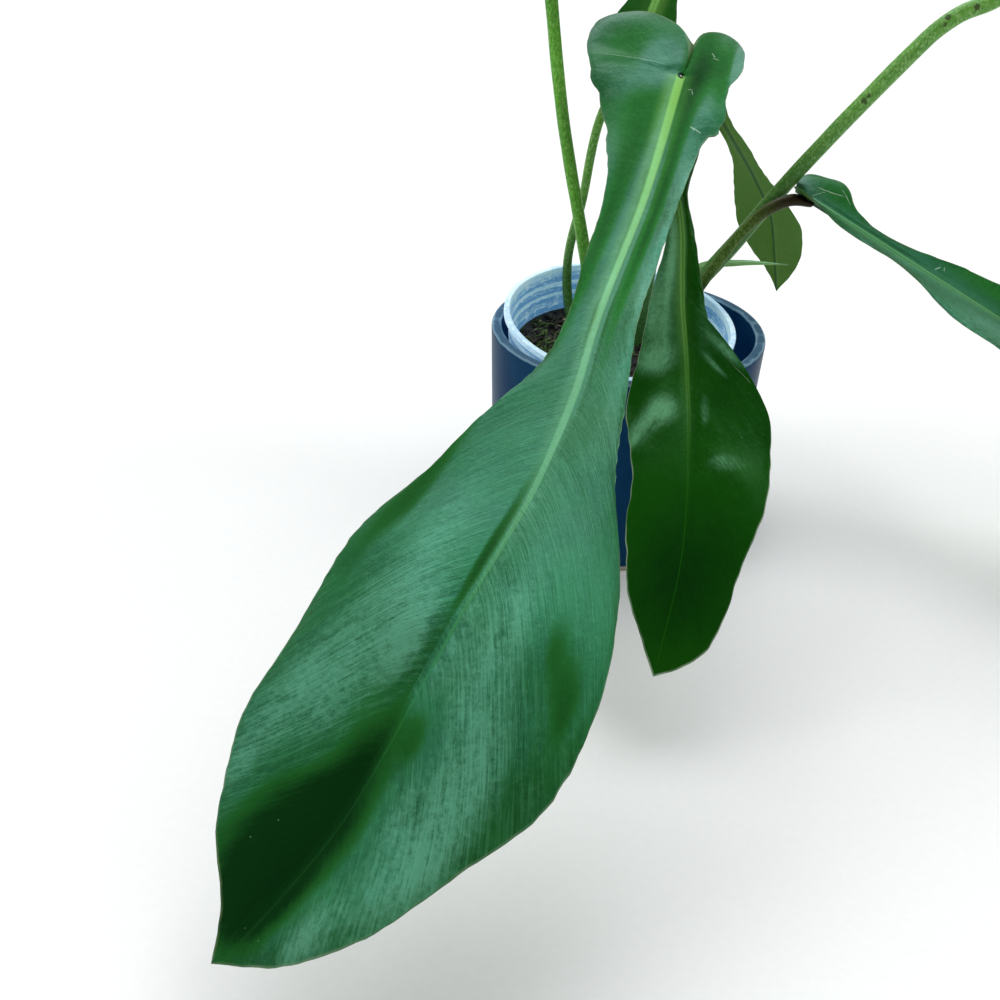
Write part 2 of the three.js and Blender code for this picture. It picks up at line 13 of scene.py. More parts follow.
import bmesh
import bpy
import numpy as np
from mathutils import Matrix, Vector


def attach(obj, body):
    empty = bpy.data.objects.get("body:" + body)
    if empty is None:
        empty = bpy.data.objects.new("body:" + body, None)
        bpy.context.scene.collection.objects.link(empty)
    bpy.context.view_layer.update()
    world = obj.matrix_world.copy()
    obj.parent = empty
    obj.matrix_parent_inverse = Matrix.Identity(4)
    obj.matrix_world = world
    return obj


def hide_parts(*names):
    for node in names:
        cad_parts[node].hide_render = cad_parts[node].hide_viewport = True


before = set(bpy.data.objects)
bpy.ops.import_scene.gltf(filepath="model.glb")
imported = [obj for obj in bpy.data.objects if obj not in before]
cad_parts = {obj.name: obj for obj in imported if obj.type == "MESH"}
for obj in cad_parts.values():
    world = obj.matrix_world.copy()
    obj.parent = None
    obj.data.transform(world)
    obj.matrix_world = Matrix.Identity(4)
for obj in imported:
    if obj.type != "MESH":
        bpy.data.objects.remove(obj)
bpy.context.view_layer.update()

log = logging.getLogger("philodendron")

MM = 0.001
DECIMETRE = 100.0
ROOT = "root"
Colour = tuple[float, float, float]
Rows = list[list[float]]
Array = np.ndarray


def toned(colour: Colour, share: float) -> Colour:
    """Colour darkened by a share under 1, or brightened by one over 1."""
    return tuple(share * part for part in colour)


# Shader sheets

class Tap:
    """A shader socket that takes Python arithmetic, each operator adding one Math node."""

    def __init__(self, sheet: "Sheet", socket: bpy.types.NodeSocket) -> None:
        """Keep the sheet and the socket."""
        self.sheet = sheet
        self.socket = socket

    def _with(self, operation: str, first: Any, second: Any) -> "Tap":
        """Join two values by one Math node."""
        return self.sheet.math(operation, first, second)

    def __add__(self, other: Any) -> "Tap":
        """Sum."""
        return self._with("ADD", self, other)

    __radd__ = __add__

    def __sub__(self, other: Any) -> "Tap":
        """Difference."""
        return self._with("SUBTRACT", self, other)

    def __rsub__(self, other: Any) -> "Tap":
        """Difference from a plain number."""
        return self._with("SUBTRACT", other, self)

    def __mul__(self, other: Any) -> "Tap":
        """Product."""
        return self._with("MULTIPLY", self, other)

    __rmul__ = __mul__

    def __truediv__(self, other: Any) -> "Tap":
        """Quotient."""
        return self._with("DIVIDE", self, other)


class Sheet:
    """A node tree, to which one method adds any node."""

    def __init__(self, tree: bpy.types.NodeTree) -> None:
        """Keep the tree."""
        self.tree = tree

    def feed(self, socket: bpy.types.NodeSocket, value: Any) -> None:
        """Link a tap to a socket, or set a plain value on it.

        Args:
            socket: The input to feed.
            value: A tap, a number, a vector, or a colour of three parts.
        """
        if isinstance(value, Tap):
            self.tree.links.new(value.socket, socket)
        elif isinstance(value, (tuple, list)) and len(value) == 3 and socket.type == "RGBA":
            socket.default_value = (*value, 1.0)
        else:
            socket.default_value = value

    def node(self, kind: str, out: int | str = 0, settings: dict[str, Any] | None = None,
             values: dict[int | str, Any] | None = None) -> Tap:
        """Add any node.

        Args:
            kind: The node's type, without its ShaderNode prefix.
            out: The output to tap.
            settings: Properties of the node, set before its sockets.
            values: Socket name or index to a value or tap.

        Returns:
            The tapped output.
        """
        node = self.tree.nodes.new("ShaderNode" + kind)
        for key, value in (settings or {}).items():
            setattr(node, key, value)
        for key, value in (values or {}).items():
            self.feed(node.inputs[key], value)
        return Tap(self, node.outputs[out])

    def math(self, operation: str, first: Any, second: Any = 0.0) -> Tap:
        """One Math node of two values."""
        return self.node("Math", 0, {"operation": operation}, {0: first, 1: second})

    def mix(self, share: Any, first: Any, second: Any) -> Tap:
        """Colour between first and second by share."""
        return self.node("Mix", 2, {"data_type": "RGBA"}, {0: share, 6: first, 7: second})

    def step(self, value: Any, low: float, high: float, to_low: float = 0.0, to_high: float = 1.0) -> Tap:
        """Smooth step: to_low below low, to_high above high, an S curve between."""
        return self.node("MapRange", 0, {"interpolation_type": "SMOOTHSTEP"},
                         {0: value, 1: low, 2: high, 3: to_low, 4: to_high})

    def place(self) -> Tap:
        """Object coordinates."""
        return self.node("TexCoord", "Object")

    def scaled(self, vector: Tap, scale: Sequence[float]) -> Tap:
        """Vector stretched along each axis."""
        return self.node("VectorMath", 0, {"operation": "MULTIPLY"}, {0: vector, 1: tuple(scale)})

    def noise(self, vector: Tap, scale: float, detail: float = 3.0, roughness: float = 0.55) -> Tap:
        """Soft noise of one value round 0.5."""
        return self.node("TexNoise", 0, {"noise_dimensions": "3D"},
                         {"Vector": vector, "Scale": scale, "Detail": detail, "Roughness": roughness})

    def cells(self, vector: Tap, scale: float) -> Tap:
        """Distance to the nearest cell point."""
        return self.node("TexVoronoi", 0, None, {"Vector": vector, "Scale": scale})

    def chart(self, name: str) -> Tap:
        """Vector of a named UV map."""
        return self.node("UVMap", 0, {"uv_map": name})

    def axis(self, vector: Tap, index: int) -> Tap:
        """One part of a vector."""
        return self.node("SeparateXYZ", index, None, {0: vector})

    def attribute(self, name: str) -> Tap:
        """Value stored on the mesh."""
        return self.node("Attribute", "Fac", {"attribute_name": name})

    def bump(self, height: Tap, strength: float, distance: float) -> Tap:
        """Normal from a height, distance in millimetres."""
        return self.node("Bump", 0, None,
                         {"Height": height, "Strength": strength, "Distance": distance * MM})


class MaterialSheet(Sheet):
    """The node tree of one material."""

    def __init__(self, name: str) -> None:
        """Make a material whose tree holds nothing but its output.

        Args:
            name: The material's name.
        """
        self.material = bpy.data.materials.new(name)
        self.material.use_nodes = True
        super().__init__(self.material.node_tree)
        self.tree.nodes.remove(self.tree.nodes["Principled BSDF"])

    def coat(self, **sockets: Any) -> Tap:
        """Principled shader, whose sockets are named with underscores for spaces."""
        values = {key.replace("_", " "): value for key, value in sockets.items()}
        return self.node("BsdfPrincipled", 0, None, values)

    def shown(self, shader: Tap) -> bpy.types.Material:
        """Put a shader on the surface and return the material."""
        self.feed(self.tree.nodes["Material Output"].inputs["Surface"], shader)
        return self.material

    def finish(self, **sockets: Any) -> bpy.types.Material:
        """Material of one Principled shader."""
        return self.shown(self.coat(**sockets))


# Finishes

@dataclass(frozen=True)
class Nick:
    """Pale mark line: scratches, and painted highlights on folds. Centre [u, v], half length, half width,
    turn in degrees.
    """

    u: float
    v: float
    length: float
    width: float
    turn: float
    strength: float = 1.0

    def mask(self, s: Sheet, along: Tap, across: Tap) -> Tap:
        """Where the pale line shows.

        Args:
            s: The sheet to draw on.
            along: Chart value along the midrib, in decimetres.
            across: Chart value across it.

        Returns:
            The strength on the line, 0 off it.
        """
        cos, sin = float(np.cos(np.radians(self.turn))), float(np.sin(np.radians(self.turn)))
        u, v = along - self.u / DECIMETRE, across - self.v / DECIMETRE
        far = s.math("ABSOLUTE", (u * cos + v * sin) / (self.length / DECIMETRE))
        off = s.math("ABSOLUTE", (v * cos - u * sin) / (self.width / DECIMETRE))
        return s.step(far, 0.5, 1.0, self.strength, 0.0) * s.step(off, 0.4, 1.0, 1.0, 0.0)


class BladeChart:
    """What a blade's finish reads: its charts, its mesh values and the noises laid along them.

    The chart "flat" holds the distances along and across the blade in decimetres. The chart "veins" holds
    the way round the margin and the share of the way out to it, so lines of the first run as veins do.
    """

    def __init__(self, s: Sheet, drift: tuple[float, float]) -> None:
        """Read the charts and lay the noises.

        Args:
            s: The sheet to draw on.
            drift: How far the drawn midrib line lies off the chart's middle near the joint and far out; moved
                onto the midrib's flank, it is a painted highlight there. The distance across is counted from
                there.
        """
        flat, self.veins = s.chart("flat"), s.chart("veins")
        near, far = (part / DECIMETRE for part in drift)
        self.along = s.axis(flat, 0)
        self.across = s.axis(flat, 1) - s.step(self.along, 1.9, 2.5, near, far)
        self.round_margin, self.out = s.axis(self.veins, 0), s.axis(self.veins, 1)
        self.under = s.attribute("underside")
        self.inset = s.attribute("inset")
        # film: the mesh's map of painted sheen, above 0, and painted shade, below 0
        self.film = s.attribute("film")
        self.place = s.place()
        self.broad = s.step(s.noise(self.place, 24.0, 3.0), 0.36, 0.66)
        self.streaks = s.noise(s.scaled(self.veins, (95.0, 3.6, 1.0)), 1.0, 4.0, 0.62)
        self.coarse = s.noise(s.scaled(self.veins, (15.0, 3.0, 1.0)), 1.0, 4.0, 0.62)
        self.fine = s.noise(s.scaled(self.veins, (260.0, 12.0, 1.0)), 1.0, 3.0, 0.55)
        self.crinkle = s.noise(self.place, 460.0, 4.0, 0.74)
        self.grain = s.noise(self.place, 1500.0, 2.0)
        self.calm = s.step(self.along, 0.9, 2.3, 0.12, 1.0)


@dataclass(frozen=True)
class BladeFinish:
    """Leathery leaf skin: silky veins, pale midrib, thin margin line and a duller underside.

    The sheen is a painted highlight that the film's patches hold, standing for the leaf's reflection. Where
    the film is below 0, the skin goes matt and lush green, and into painted shade where it is lowest. The
    midrib's width, the distance where it fades and its drift are in millimetres; where the drift moves the
    pale midrib line onto the midrib's flank, it is a painted highlight there. The streak sets how strongly
    threads of painted sheen and the silky relief show, and leather makes the grit in the painted sheen run
    along the veins more than it crinkles.
    """

    name: str
    deep: Colour = (0.010, 0.075, 0.011)
    fresh: Colour = (0.019, 0.142, 0.024)
    # sheen: painted highlight, the leaf's reflection laid into its colour
    sheen: Colour = (0.089, 0.280, 0.166)
    lush: Colour = (0.026, 0.200, 0.032)
    shade: Colour = (0.003, 0.027, 0.004)
    rib: Colour = (0.270, 0.620, 0.130)
    rib_far: Colour = (0.180, 0.440, 0.200)
    rib_width: float = 2.3
    rib_fade: float = 360.0
    rib_drift: tuple[float, float] = (0.0, 0.0)
    margin: Colour = (0.150, 0.230, 0.110)
    # under: paler lower skin, brightened also to stand in for daylight shining through the leaf
    under: Colour = (0.058, 0.140, 0.014)
    under_rib: Colour = (0.014, 0.034, 0.006)
    dust: Colour = (0.42, 0.58, 0.40)
    # scratch: colour of the pale lines, both scratches and painted highlights along folds
    scratch: Colour = (0.50, 0.66, 0.50)
    # Painted shade and painted glint of the pit over the petiole's end
    pit_shade: Colour = (0.004, 0.005, 0.002)
    pit_glint: Colour = (0.80, 0.84, 0.80)
    roughness: float = 0.33
    gloss: float = 0.5
    dull_gloss: float = 0.03
    tint: Colour = (0.20, 1.0, 0.84)
    streak: float = 1.0
    leather: float = 1.0
    flecks: float = 0.6
    nicks: tuple[Nick, ...] = ()

    def material(self) -> bpy.types.Material:
        """Build the material: a glossy shader, and a matt one where the film is below 0, under painted shade.

        Returns:
            The finished material.
        """
        s = MaterialSheet(self.name)
        c = BladeChart(s, self.rib_drift)
        vein, film, ratio = self._vein(s, c), self._sheen_and_shade(s, c), self._off_midrib(s, c)
        # Where the film is below 0 the gloss goes off and the skin turns plain lush green, with painted shade
        # deeper down
        dulled = s.step(film, -0.62, -0.08, 1.0, 0.0)
        skin = self._marked(s, c, self._ribbed(s, c, self._skin(s, c, vein, film, dulled), ratio))
        cloudy = (s.noise(c.place, 46.0, 2.0) - 0.5) * 0.14
        rough = self.roughness + (c.fine - 0.5) * 0.16 + c.under * 0.26 + cloudy
        shared = {
            "Base_Color": s.mix(c.under, skin, self._underside(s, c, ratio)),
            "Normal": self._relief(s, c, vein),
            "Specular_Tint": self.tint,
        }
        glossy = s.coat(Roughness=rough, Specular_IOR_Level=self.gloss, **shared)
        matt = s.coat(Roughness=rough + 0.1, Specular_IOR_Level=self.dull_gloss, **shared)
        return s.shown(s.node("MixShader", 0, None, {0: (1.0 - c.under) * dulled, 1: glossy, 2: matt}))

    @staticmethod
    def _vein(s: Sheet, c: BladeChart) -> Tap:
        """Thin lateral veins, at even steps round the margin and wandering a little.

        Args:
            s: The sheet to draw on.
            c: The blade's charts and noises.

        Returns:
            1 on a vein, 0 off it.
        """
        wander = (s.noise(s.scaled(c.veins, (9.0, 1.2, 1.0)), 1.0, 2.0) - 0.5) * 0.09
        line = s.step(s.math("PINGPONG", c.round_margin + wander, 0.048), 0.0, 0.007, 1.0, 0.0)
        inner, outer = s.step(c.out, 0.05, 0.3), s.step(c.out, 0.7, 0.98, 1.0, 0.15)
        return line * inner * outer * s.step(c.fine, 0.4, 0.65)

    @staticmethod
    def _sheen_and_shade(s: Sheet, c: BladeChart) -> Tap:
        """The mesh's film, its map of painted sheen and painted shade, broken up by noises.

        Args:
            s: The sheet to draw on.
            c: The blade's charts and noises.

        Returns:
            Above 0 where sheen is painted, below 0 where the gloss goes off and shade is painted.
        """
        uneven = ((c.streaks - 0.5) * 1.3 + (c.coarse - 0.5) * 1.3) * c.calm
        uneven = uneven + (s.noise(c.place, 70.0, 4.0) - 0.5) * 0.6
        return c.film * (1.0 + uneven * s.step(c.film, -0.45, 0.0, 0.4, 1.0))

    def _off_midrib(self, s: Sheet, c: BladeChart) -> Tap:
        """Distance from the midrib over its half width, which narrows toward the tip.

        Args:
            s: The sheet to draw on.
            c: The blade's charts and noises.

        Returns:
            0 on the midrib's line, 1 at its edge.
        """
        end = self.rib_fade / DECIMETRE
        slimmer = s.step(c.along, 0.0, 1.2, 1.0, 0.72) * s.step(c.along, 0.5 * end, end, 1.0, 0.2)
        return s.math("ABSOLUTE", c.across) / (slimmer * (self.rib_width / DECIMETRE))

    def _skin(self, s: Sheet, c: BladeChart, vein: Tap, film: Tap, dulled: Tap) -> Tap:
        """Colour of the upper skin without its midrib and marks, with its painted sheen and painted shade.

        Args:
            s: The sheet to draw on.
            c: The blade's charts and noises.
            vein: Where the lateral veins are.
            film: The broken map of painted sheen and shade.
            dulled: Where the film is below 0 and the skin goes matt and lush green.

        Returns:
            The colour.
        """
        skin = s.mix(c.broad * 0.5 + s.step(c.streaks, 0.38, 0.7) * c.calm * 0.4, self.deep, self.fresh)
        skin = s.mix(vein * c.calm * 0.08, skin, toned(self.fresh, 2.2))
        # Silky threads of painted sheen along the veins
        sheen_threads = s.step(c.streaks + (c.fine - 0.5) * 0.5, 0.48, 0.64) * c.calm * (1.0 - dulled)
        skin = s.mix(sheen_threads * (0.14 * self.streak), skin, self.sheen)
        # Painted shade in streaks along the veins
        shaded_furrows = s.step(c.coarse + (c.crinkle - 0.5) * 0.8, 0.30, 0.52, 1.0, 0.0) * c.calm
        skin = s.mix(shaded_furrows * 0.3, skin, self.shade)
        # Painted sheen glints in the crinkles
        skin = s.mix(s.step(c.crinkle, 0.52, 0.68) * (0.10 * self.streak), skin, self.sheen)
        grit = (c.fine - 0.5) * self.leather + (c.crinkle - 0.5) * (2.0 / self.leather)
        grit = grit + (c.streaks - 0.5) * 0.6
        # Painted sheen where the film is above 0, broken by grit
        sheen_mask = s.step(film + s.math("MAXIMUM", c.film, 0.0) * grit, 0.05, 1.45)
        skin = s.mix(sheen_mask * 0.92, skin, self.sheen)
        # Where the film is below 0, plain lush green with no sheen
        lush = s.mix(s.step(c.along, 1.6, 2.6), self.lush, toned(self.fresh, 0.72))
        skin = s.mix(dulled * (0.65 + (c.broad - 0.5) * 0.2 + (c.crinkle - 0.5) * 1.3), skin, lush)
        # Painted shade where the film is lowest
        return s.mix(s.step(film, -1.25, -0.45, 0.95, 0.0), skin, self.shade)

    def _ribbed(self, s: Sheet, c: BladeChart, skin: Tap, ratio: Tap) -> Tap:
        """Skin with the pale midrib and the soft halo beside it, a painted sheen that is stronger on its
        left.

        Args:
            s: The sheet to draw on.
            c: The blade's charts and noises.
            skin: The colour so far.
            ratio: Distance from the midrib over its half width.

        Returns:
            The colour.
        """
        end = self.rib_fade / DECIMETRE
        ahead = s.step(c.along, -0.012, 0.012)
        band = s.step(ratio, 0.55, 1.15, 1.0, 0.0) * ahead * s.step(c.along, 3.0, 3.6, 1.0, 0.15)
        # The halo is painted sheen on the midrib's left flank, weaker on its right
        halo = s.step(ratio, 1.0, 4.0, 1.0, 0.0) * ahead * s.step(c.across, -0.01, 0.01, 1.0, 0.25)
        bright = s.step(c.along, 0.36 * end, 0.92 * end, 1.0, 0.0)
        pale = s.mix(s.step(c.along, 0.3, 1.8), self.rib, self.rib_far)
        skin = s.mix(halo * bright * 0.34, skin, pale)
        return s.mix(band * s.step(c.fine, 0.2, 0.5, 0.75, 0.98), skin, s.mix(bright, self.fresh, pale))

    def _marked(self, s: Sheet, c: BladeChart, skin: Tap) -> Tap:
        """Skin with its worn margin, dust, pale lines, and the painted shade and painted glint in the pit
        over the petiole's end.

        Args:
            s: The sheet to draw on.
            c: The blade's charts and noises.
            skin: The colour so far.

        Returns:
            The colour.
        """
        worn = s.step(s.noise(c.place, 60.0, 3.0), 0.35, 0.6, 0.15, 0.8)
        skin = s.mix(s.step(c.inset, 0.12, 0.5, 1.0, 0.0) * worn, skin, self.margin)
        dusty = s.step(s.noise(c.place, 30.0), 0.58, 0.63)
        spots = s.step(s.cells(c.place, 190.0), 0.0, 0.06, 1.0, 0.0) * dusty
        skin = s.mix(spots * self.flecks, skin, self.dust)
        # Pale lines: scratches, and painted highlights along folds
        grainy = s.step(c.grain, 0.35, 0.5)
        for nick in self.nicks:
            skin = s.mix(nick.mask(s, c.along, c.across) * grainy, skin, self.scratch)
        # Painted shade in the pit over the petiole's end, and a painted glint at its middle
        reach = s.math("SQRT", c.along * c.along + c.across * c.across)
        skin = s.mix(s.step(reach, 0.013, 0.020, 0.97, 0.0), skin, self.pit_shade)
        return s.mix(s.step(reach, 0.003, 0.005, 0.9, 0.0), skin, self.pit_glint)

    def _underside(self, s: Sheet, c: BladeChart, ratio: Tap) -> Tap:
        """Dull lower skin with its darker midrib; its pale colour is partly its own and partly painted
        daylight shining through the leaf.

        Args:
            s: The sheet to draw on.
            c: The blade's charts and noises.
            ratio: Distance from the midrib over its half width.

        Returns:
            The colour.
        """
        below = s.mix(s.step(c.streaks, 0.35, 0.7) * 0.5, self.under, toned(self.under, 0.72))
        return s.mix(s.step(ratio, 0.6, 1.3, 1.0, 0.0), below, self.under_rib)

    def _relief(self, s: Sheet, c: BladeChart, vein: Tap) -> Tap:
        """Silky relief along the veins, fine leather everywhere and wrinkles near the joint.

        Args:
            s: The sheet to draw on.
            c: The blade's charts and noises.
            vein: Where the lateral veins are.

        Returns:
            The bent normal.
        """
        silk = c.streaks * (0.8 * self.streak) + c.coarse * (1.3 * self.streak)
        silk = (silk + c.fine * (0.2 * self.streak) - vein * 0.15) * c.calm
        wrinkles = (1.0 - c.calm) * s.noise(c.place, 105.0, 3.0) * 2.2
        return s.bump(silk + c.grain * 0.07 + c.crinkle * 0.7 + wrinkles, 0.5, 0.5)


@dataclass(frozen=True)
class PetioleFinish:
    """Round green stalk with pale flecks, fine grooves and a few brown scars.

    Below the leaves painted shade makes it darker; the dusk holds where that ends, in decimetres from the
    foot.
    Each of the scars holds x, y, z and the radius in millimetres.
    """

    name: str
    green: Colour = (0.140, 0.370, 0.042)
    shade: Colour = (0.070, 0.230, 0.026)
    fleck: Colour = (0.420, 0.640, 0.260)
    joint: Colour = (0.110, 0.240, 0.040)
    scar: Colour = (0.035, 0.020, 0.010)
    tint: Colour = (0.6, 1.0, 0.8)
    roughness: float = 0.38
    dusk: tuple[float, float] = (0.30, 0.60)
    scars: tuple[tuple[float, float, float, float], ...] = ()

    def material(self) -> bpy.types.Material:
        """Build the material; the chart "stalk" holds the way round and the length in decimetres.

        Returns:
            The finished material.
        """
        s = MaterialSheet(self.name)
        stalk, place = s.chart("stalk"), s.place()
        lines = s.noise(s.scaled(stalk, (14.0, 2.5, 1.0)), 1.0, 3.0)
        mottle = s.noise(s.scaled(place, (1.0, 1.0, 0.7)), 850.0, 4.0, 0.7)
        flecks = s.step(s.cells(s.scaled(place, (1.0, 1.0, 0.45)), 620.0), 0.12, 0.30, 1.0, 0.0)
        pores = s.step(s.cells(place, 820.0), 0.10, 0.22, 1.0, 0.0) * s.step(s.noise(place, 90.0), 0.45, 0.6)
        scarred = self._scarred(s, place, mottle)
        cloudy = s.step(s.noise(place, 34.0, 4.0), 0.3, 0.7) * 0.6
        body = s.mix(cloudy + s.step(lines, 0.45, 0.7) * 0.4, self.green, self.shade)
        body = s.mix(s.step(mottle, 0.50, 0.62) * 0.42, body, self.fleck)
        body = s.mix(s.step(mottle, 0.36, 0.48, 1.0, 0.0) * 0.45, body, toned(self.shade, 0.5))
        body = s.mix(flecks * 0.5, body, self.fleck)
        body = s.mix(pores * 0.45, body, toned(self.shade, 0.35))
        body = s.mix(scarred * 0.8, body, self.scar)
        # Painted shade on the lower stalk, under the leaves
        body = s.mix(s.step(s.axis(stalk, 1), *self.dusk, 0.62, 0.0), body, toned(self.shade, 0.42))
        height = lines * 0.6 + flecks * 0.3 - scarred * 0.5 + mottle * 0.4
        rough = self.roughness + s.step(lines, 0.3, 0.7) * 0.14 + scarred * 0.3
        return s.finish(Base_Color=s.mix(s.attribute("joint"), body, self.joint), Roughness=rough,
                        Normal=s.bump(height, 0.5, 0.35), Specular_Tint=self.tint)

    def _scarred(self, s: Sheet, place: Tap, mottle: Tap) -> Tap:
        """Small scars strewn at random, and the larger ones at their places.

        Args:
            s: The sheet to draw on.
            place: Object coordinates.
            mottle: Fine noise that frays the larger scars.

        Returns:
            1 on a scar, 0 off it.
        """
        scarred = s.step(s.cells(s.scaled(place, (1.0, 1.0, 0.5)), 58.0), 0.03, 0.085, 1.0, 0.0)
        fray = (mottle - 0.5) * (2.0 * MM)
        for x, y, z, size in self.scars:
            centre = (x * MM, y * MM, z * MM)
            away = s.node("VectorMath", "Value", {"operation": "DISTANCE"}, {0: place, 1: centre})
            scar = s.step(away + fray, 0.55 * size * MM, size * MM, 1.0, 0.0)
            scarred = s.math("MAXIMUM", scarred, scar)
        return scarred


@dataclass(frozen=True)
class GlazeFinish:
    """Navy glaze with a painted highlight along the rim, over a bare clay foot.

    The rim line holds how far under the rim's top the painted highlight starts, is full, turns weaker and
    ends.
    """

    name: str = "navy_glaze"
    navy: Colour = (0.005, 0.036, 0.098)
    dusk: Colour = (0.007, 0.050, 0.118)
    # thin: colour of the rim's painted highlight, also used for the pinholes
    thin: Colour = (0.235, 0.400, 0.520)
    clay: Colour = (0.520, 0.470, 0.400)
    tint: Colour = (0.15, 0.50, 1.0)
    rim_height: float = 112.0
    rim_line: tuple[float, float, float, float] = (1.5, 0.8, 0.45, 0.05)
    foot_height: float = 3.0

    def material(self) -> bpy.types.Material:
        """Build the material from height bands and soft pooling of the glaze.

        Returns:
            The finished material.
        """
        s = MaterialSheet(self.name)
        place = s.place()
        height = s.axis(place, 2)
        pooled = s.noise(s.scaled(place, (1.0, 1.0, 0.35)), 30.0, 3.0)
        body = s.mix(s.step(pooled, 0.35, 0.7), self.navy, self.dusk)
        wobble = (s.noise(place, 120.0, 2.0) - 0.5) * (1.2 * MM)
        # Painted highlight along the rim's rounded edges
        start, full, weaker, end = ((self.rim_height - under) * MM for under in self.rim_line)
        level = height + wobble
        rim = s.step(level, start, full) * s.step(level, weaker, end, 1.0, 0.3)
        body = s.mix(rim * s.step(pooled, 0.3, 0.7, 0.95, 0.7), body, self.thin)
        pin = s.step(s.cells(place, 260.0), 0.02, 0.06, 1.0, 0.0) * s.step(s.noise(place, 60.0), 0.6, 0.66)
        body = s.mix(pin * 0.4, body, self.thin)
        foot, edge = self.foot_height * MM, (self.foot_height + 0.5) * MM
        bare = s.step(height + wobble * 0.6, foot, edge, 1.0, 0.0)
        grit = s.noise(place, 900.0, 3.0)
        clay = s.mix(s.step(grit, 0.3, 0.7), self.clay, toned(self.clay, 0.66))
        rough = 0.26 + s.step(pooled, 0.3, 0.7) * 0.08 + bare * 0.6 - rim * 0.1
        relief = pooled * 0.7 + grit * bare * 0.5
        return s.finish(Base_Color=s.mix(bare, body, clay), Roughness=rough,
                        Normal=s.bump(relief, 0.25, 0.4), IOR=1.3, Specular_IOR_Level=0.05,
                        Specular_Tint=self.tint)


@dataclass(frozen=True)
class ClearPlasticFinish:
    """Cloudy clear plastic with lime streaks, scratches and condensed damp.

    A faint glow stands for the daylight that the thin wall lets through.
    """

    name: str = "cloudy_plastic"
    film: Colour = (0.200, 0.420, 0.620)
    lime: Colour = (0.740, 0.880, 0.970)
    deep_glow: Colour = (0.120, 0.360, 0.720)
    pale_glow: Colour = (0.500, 0.850, 1.000)
    glow: float = 0.30

    def material(self) -> bpy.types.Material:
        """Build the material; cloudiness goes into the alpha.

        Returns:
            The finished material.
        """
        s = MaterialSheet(self.name)
        place = s.place()
        level = s.node("CombineXYZ", 0, None,
                       {0: s.axis(place, 0), 1: s.axis(place, 1), 2: s.attribute("depth")})
        rings = s.noise(s.scaled(level, (16.0, 16.0, 420.0)), 1.0, 5.0, 0.65)
        drips = s.noise(s.scaled(level, (150.0, 150.0, 14.0)), 1.0, 4.0, 0.6)
        crumbs = s.noise(s.scaled(level, (260.0, 260.0, 900.0)), 1.0, 4.0, 0.75)
        streak = s.step(rings, 0.42, 0.60) * 0.55 + s.step(crumbs, 0.47, 0.66) * 0.6
        streak = streak + s.step(drips, 0.5, 0.68) * 0.3
        streak = streak + s.attribute("rib") * s.step(drips, 0.3, 0.6, 0.3, 0.9)
        lime = s.math("MINIMUM", s.step(streak, 0.15, 1.1) + s.attribute("lip") * 0.6, 1.0)
        return s.finish(Base_Color=s.mix(lime, self.film, self.lime),
                        Alpha=s.math("MINIMUM", 0.9 + lime * 0.09, 0.99), Roughness=0.34 + lime * 0.25,
                        Emission_Color=s.mix(lime, self.deep_glow, self.pale_glow),
                        Emission_Strength=self.glow, Normal=s.bump(crumbs + rings * 0.8, 0.6, 0.4),
                        IOR=1.46)


@dataclass(frozen=True)
class SoilFinish:
    """Damp potting mix; the mesh value "tint" sorts crumbs into peat, bark, moss and pale fibre."""

    name: str = "potting_mix"
    peat: Colour = (0.008, 0.008, 0.006)
    bark: Colour = (0.020, 0.016, 0.010)
    moss: Colour = (0.060, 0.110, 0.018)
    fibre: Colour = (0.300, 0.290, 0.170)
    damp: Colour = (0.004, 0.003, 0.002)

    def material(self) -> bpy.types.Material:
        """Build the material.

        Returns:
            The finished material.
        """
        s = MaterialSheet(self.name)
        place = s.place()
        tint = s.attribute("tint")
        grain = s.noise(place, 300.0, 5.0, 0.65)
        base = s.mix(s.step(grain, 0.35, 0.7), self.peat, toned(self.peat, 3.0))
        base = s.mix(s.step(tint, 0.22, 0.30), base, self.bark)
        base = s.mix(s.step(tint, 0.55, 0.62), base, self.moss)
        base = s.mix(s.step(tint, 0.86, 0.92), base, self.fibre)
        colour = s.mix(s.step(s.noise(place, 900.0, 3.0), 0.55, 0.75) * 0.4, base, self.damp)
        rough = 0.62 + s.step(grain, 0.3, 0.7) * 0.33
        return s.finish(Base_Color=colour, Roughness=rough, Normal=s.bump(grain, 0.9, 1.2))


@dataclass(frozen=True)
class StemFinish:
    """Corky green-brown creeping stem with leaf scars at even steps."""

    name: str = "stem_cork"
    green: Colour = (0.070, 0.095, 0.025)
    cork: Colour = (0.140, 0.085, 0.045)
    scar: Colour = (0.030, 0.018, 0.010)
    scar_step: float = 5.5

    def material(self) -> bpy.types.Material:
        """Build the material; the chart "stalk" runs round and along the stem.

        Returns:
            The finished material.
        """
        s = MaterialSheet(self.name)
        along = s.axis(s.chart("stalk"), 1)
        patch = s.noise(s.place(), 110.0, 5.0, 0.6)
        ring = s.step(s.math("PINGPONG", along, self.scar_step / DECIMETRE), 0.0, 0.012, 1.0, 0.0)
        colour = s.mix(s.step(patch, 0.42, 0.6), self.green, self.cork)
        return s.finish(Base_Color=s.mix(ring * 0.7, colour, self.scar), Roughness=0.6 + patch * 0.3,
                        Normal=s.bump(patch - ring * 0.5, 0.8, 0.8))


@dataclass(frozen=True)
class FloorFinish:
    """Plain pale floor with the faintest tooth."""

    name: str = "pale_floor"
    pale: Colour = (0.93, 0.93, 0.93)

    def material(self) -> bpy.types.Material:
        """Build the material.

        Returns:
            The finished material.
        """
        s = MaterialSheet(self.name)
        tooth = s.noise(s.place(), 300.0, 2.0)
        colour = s.mix(s.step(tooth, 0.3, 0.7), self.pale, toned(self.pale, 0.985))
        return s.finish(Base_Color=colour, Roughness=0.85)


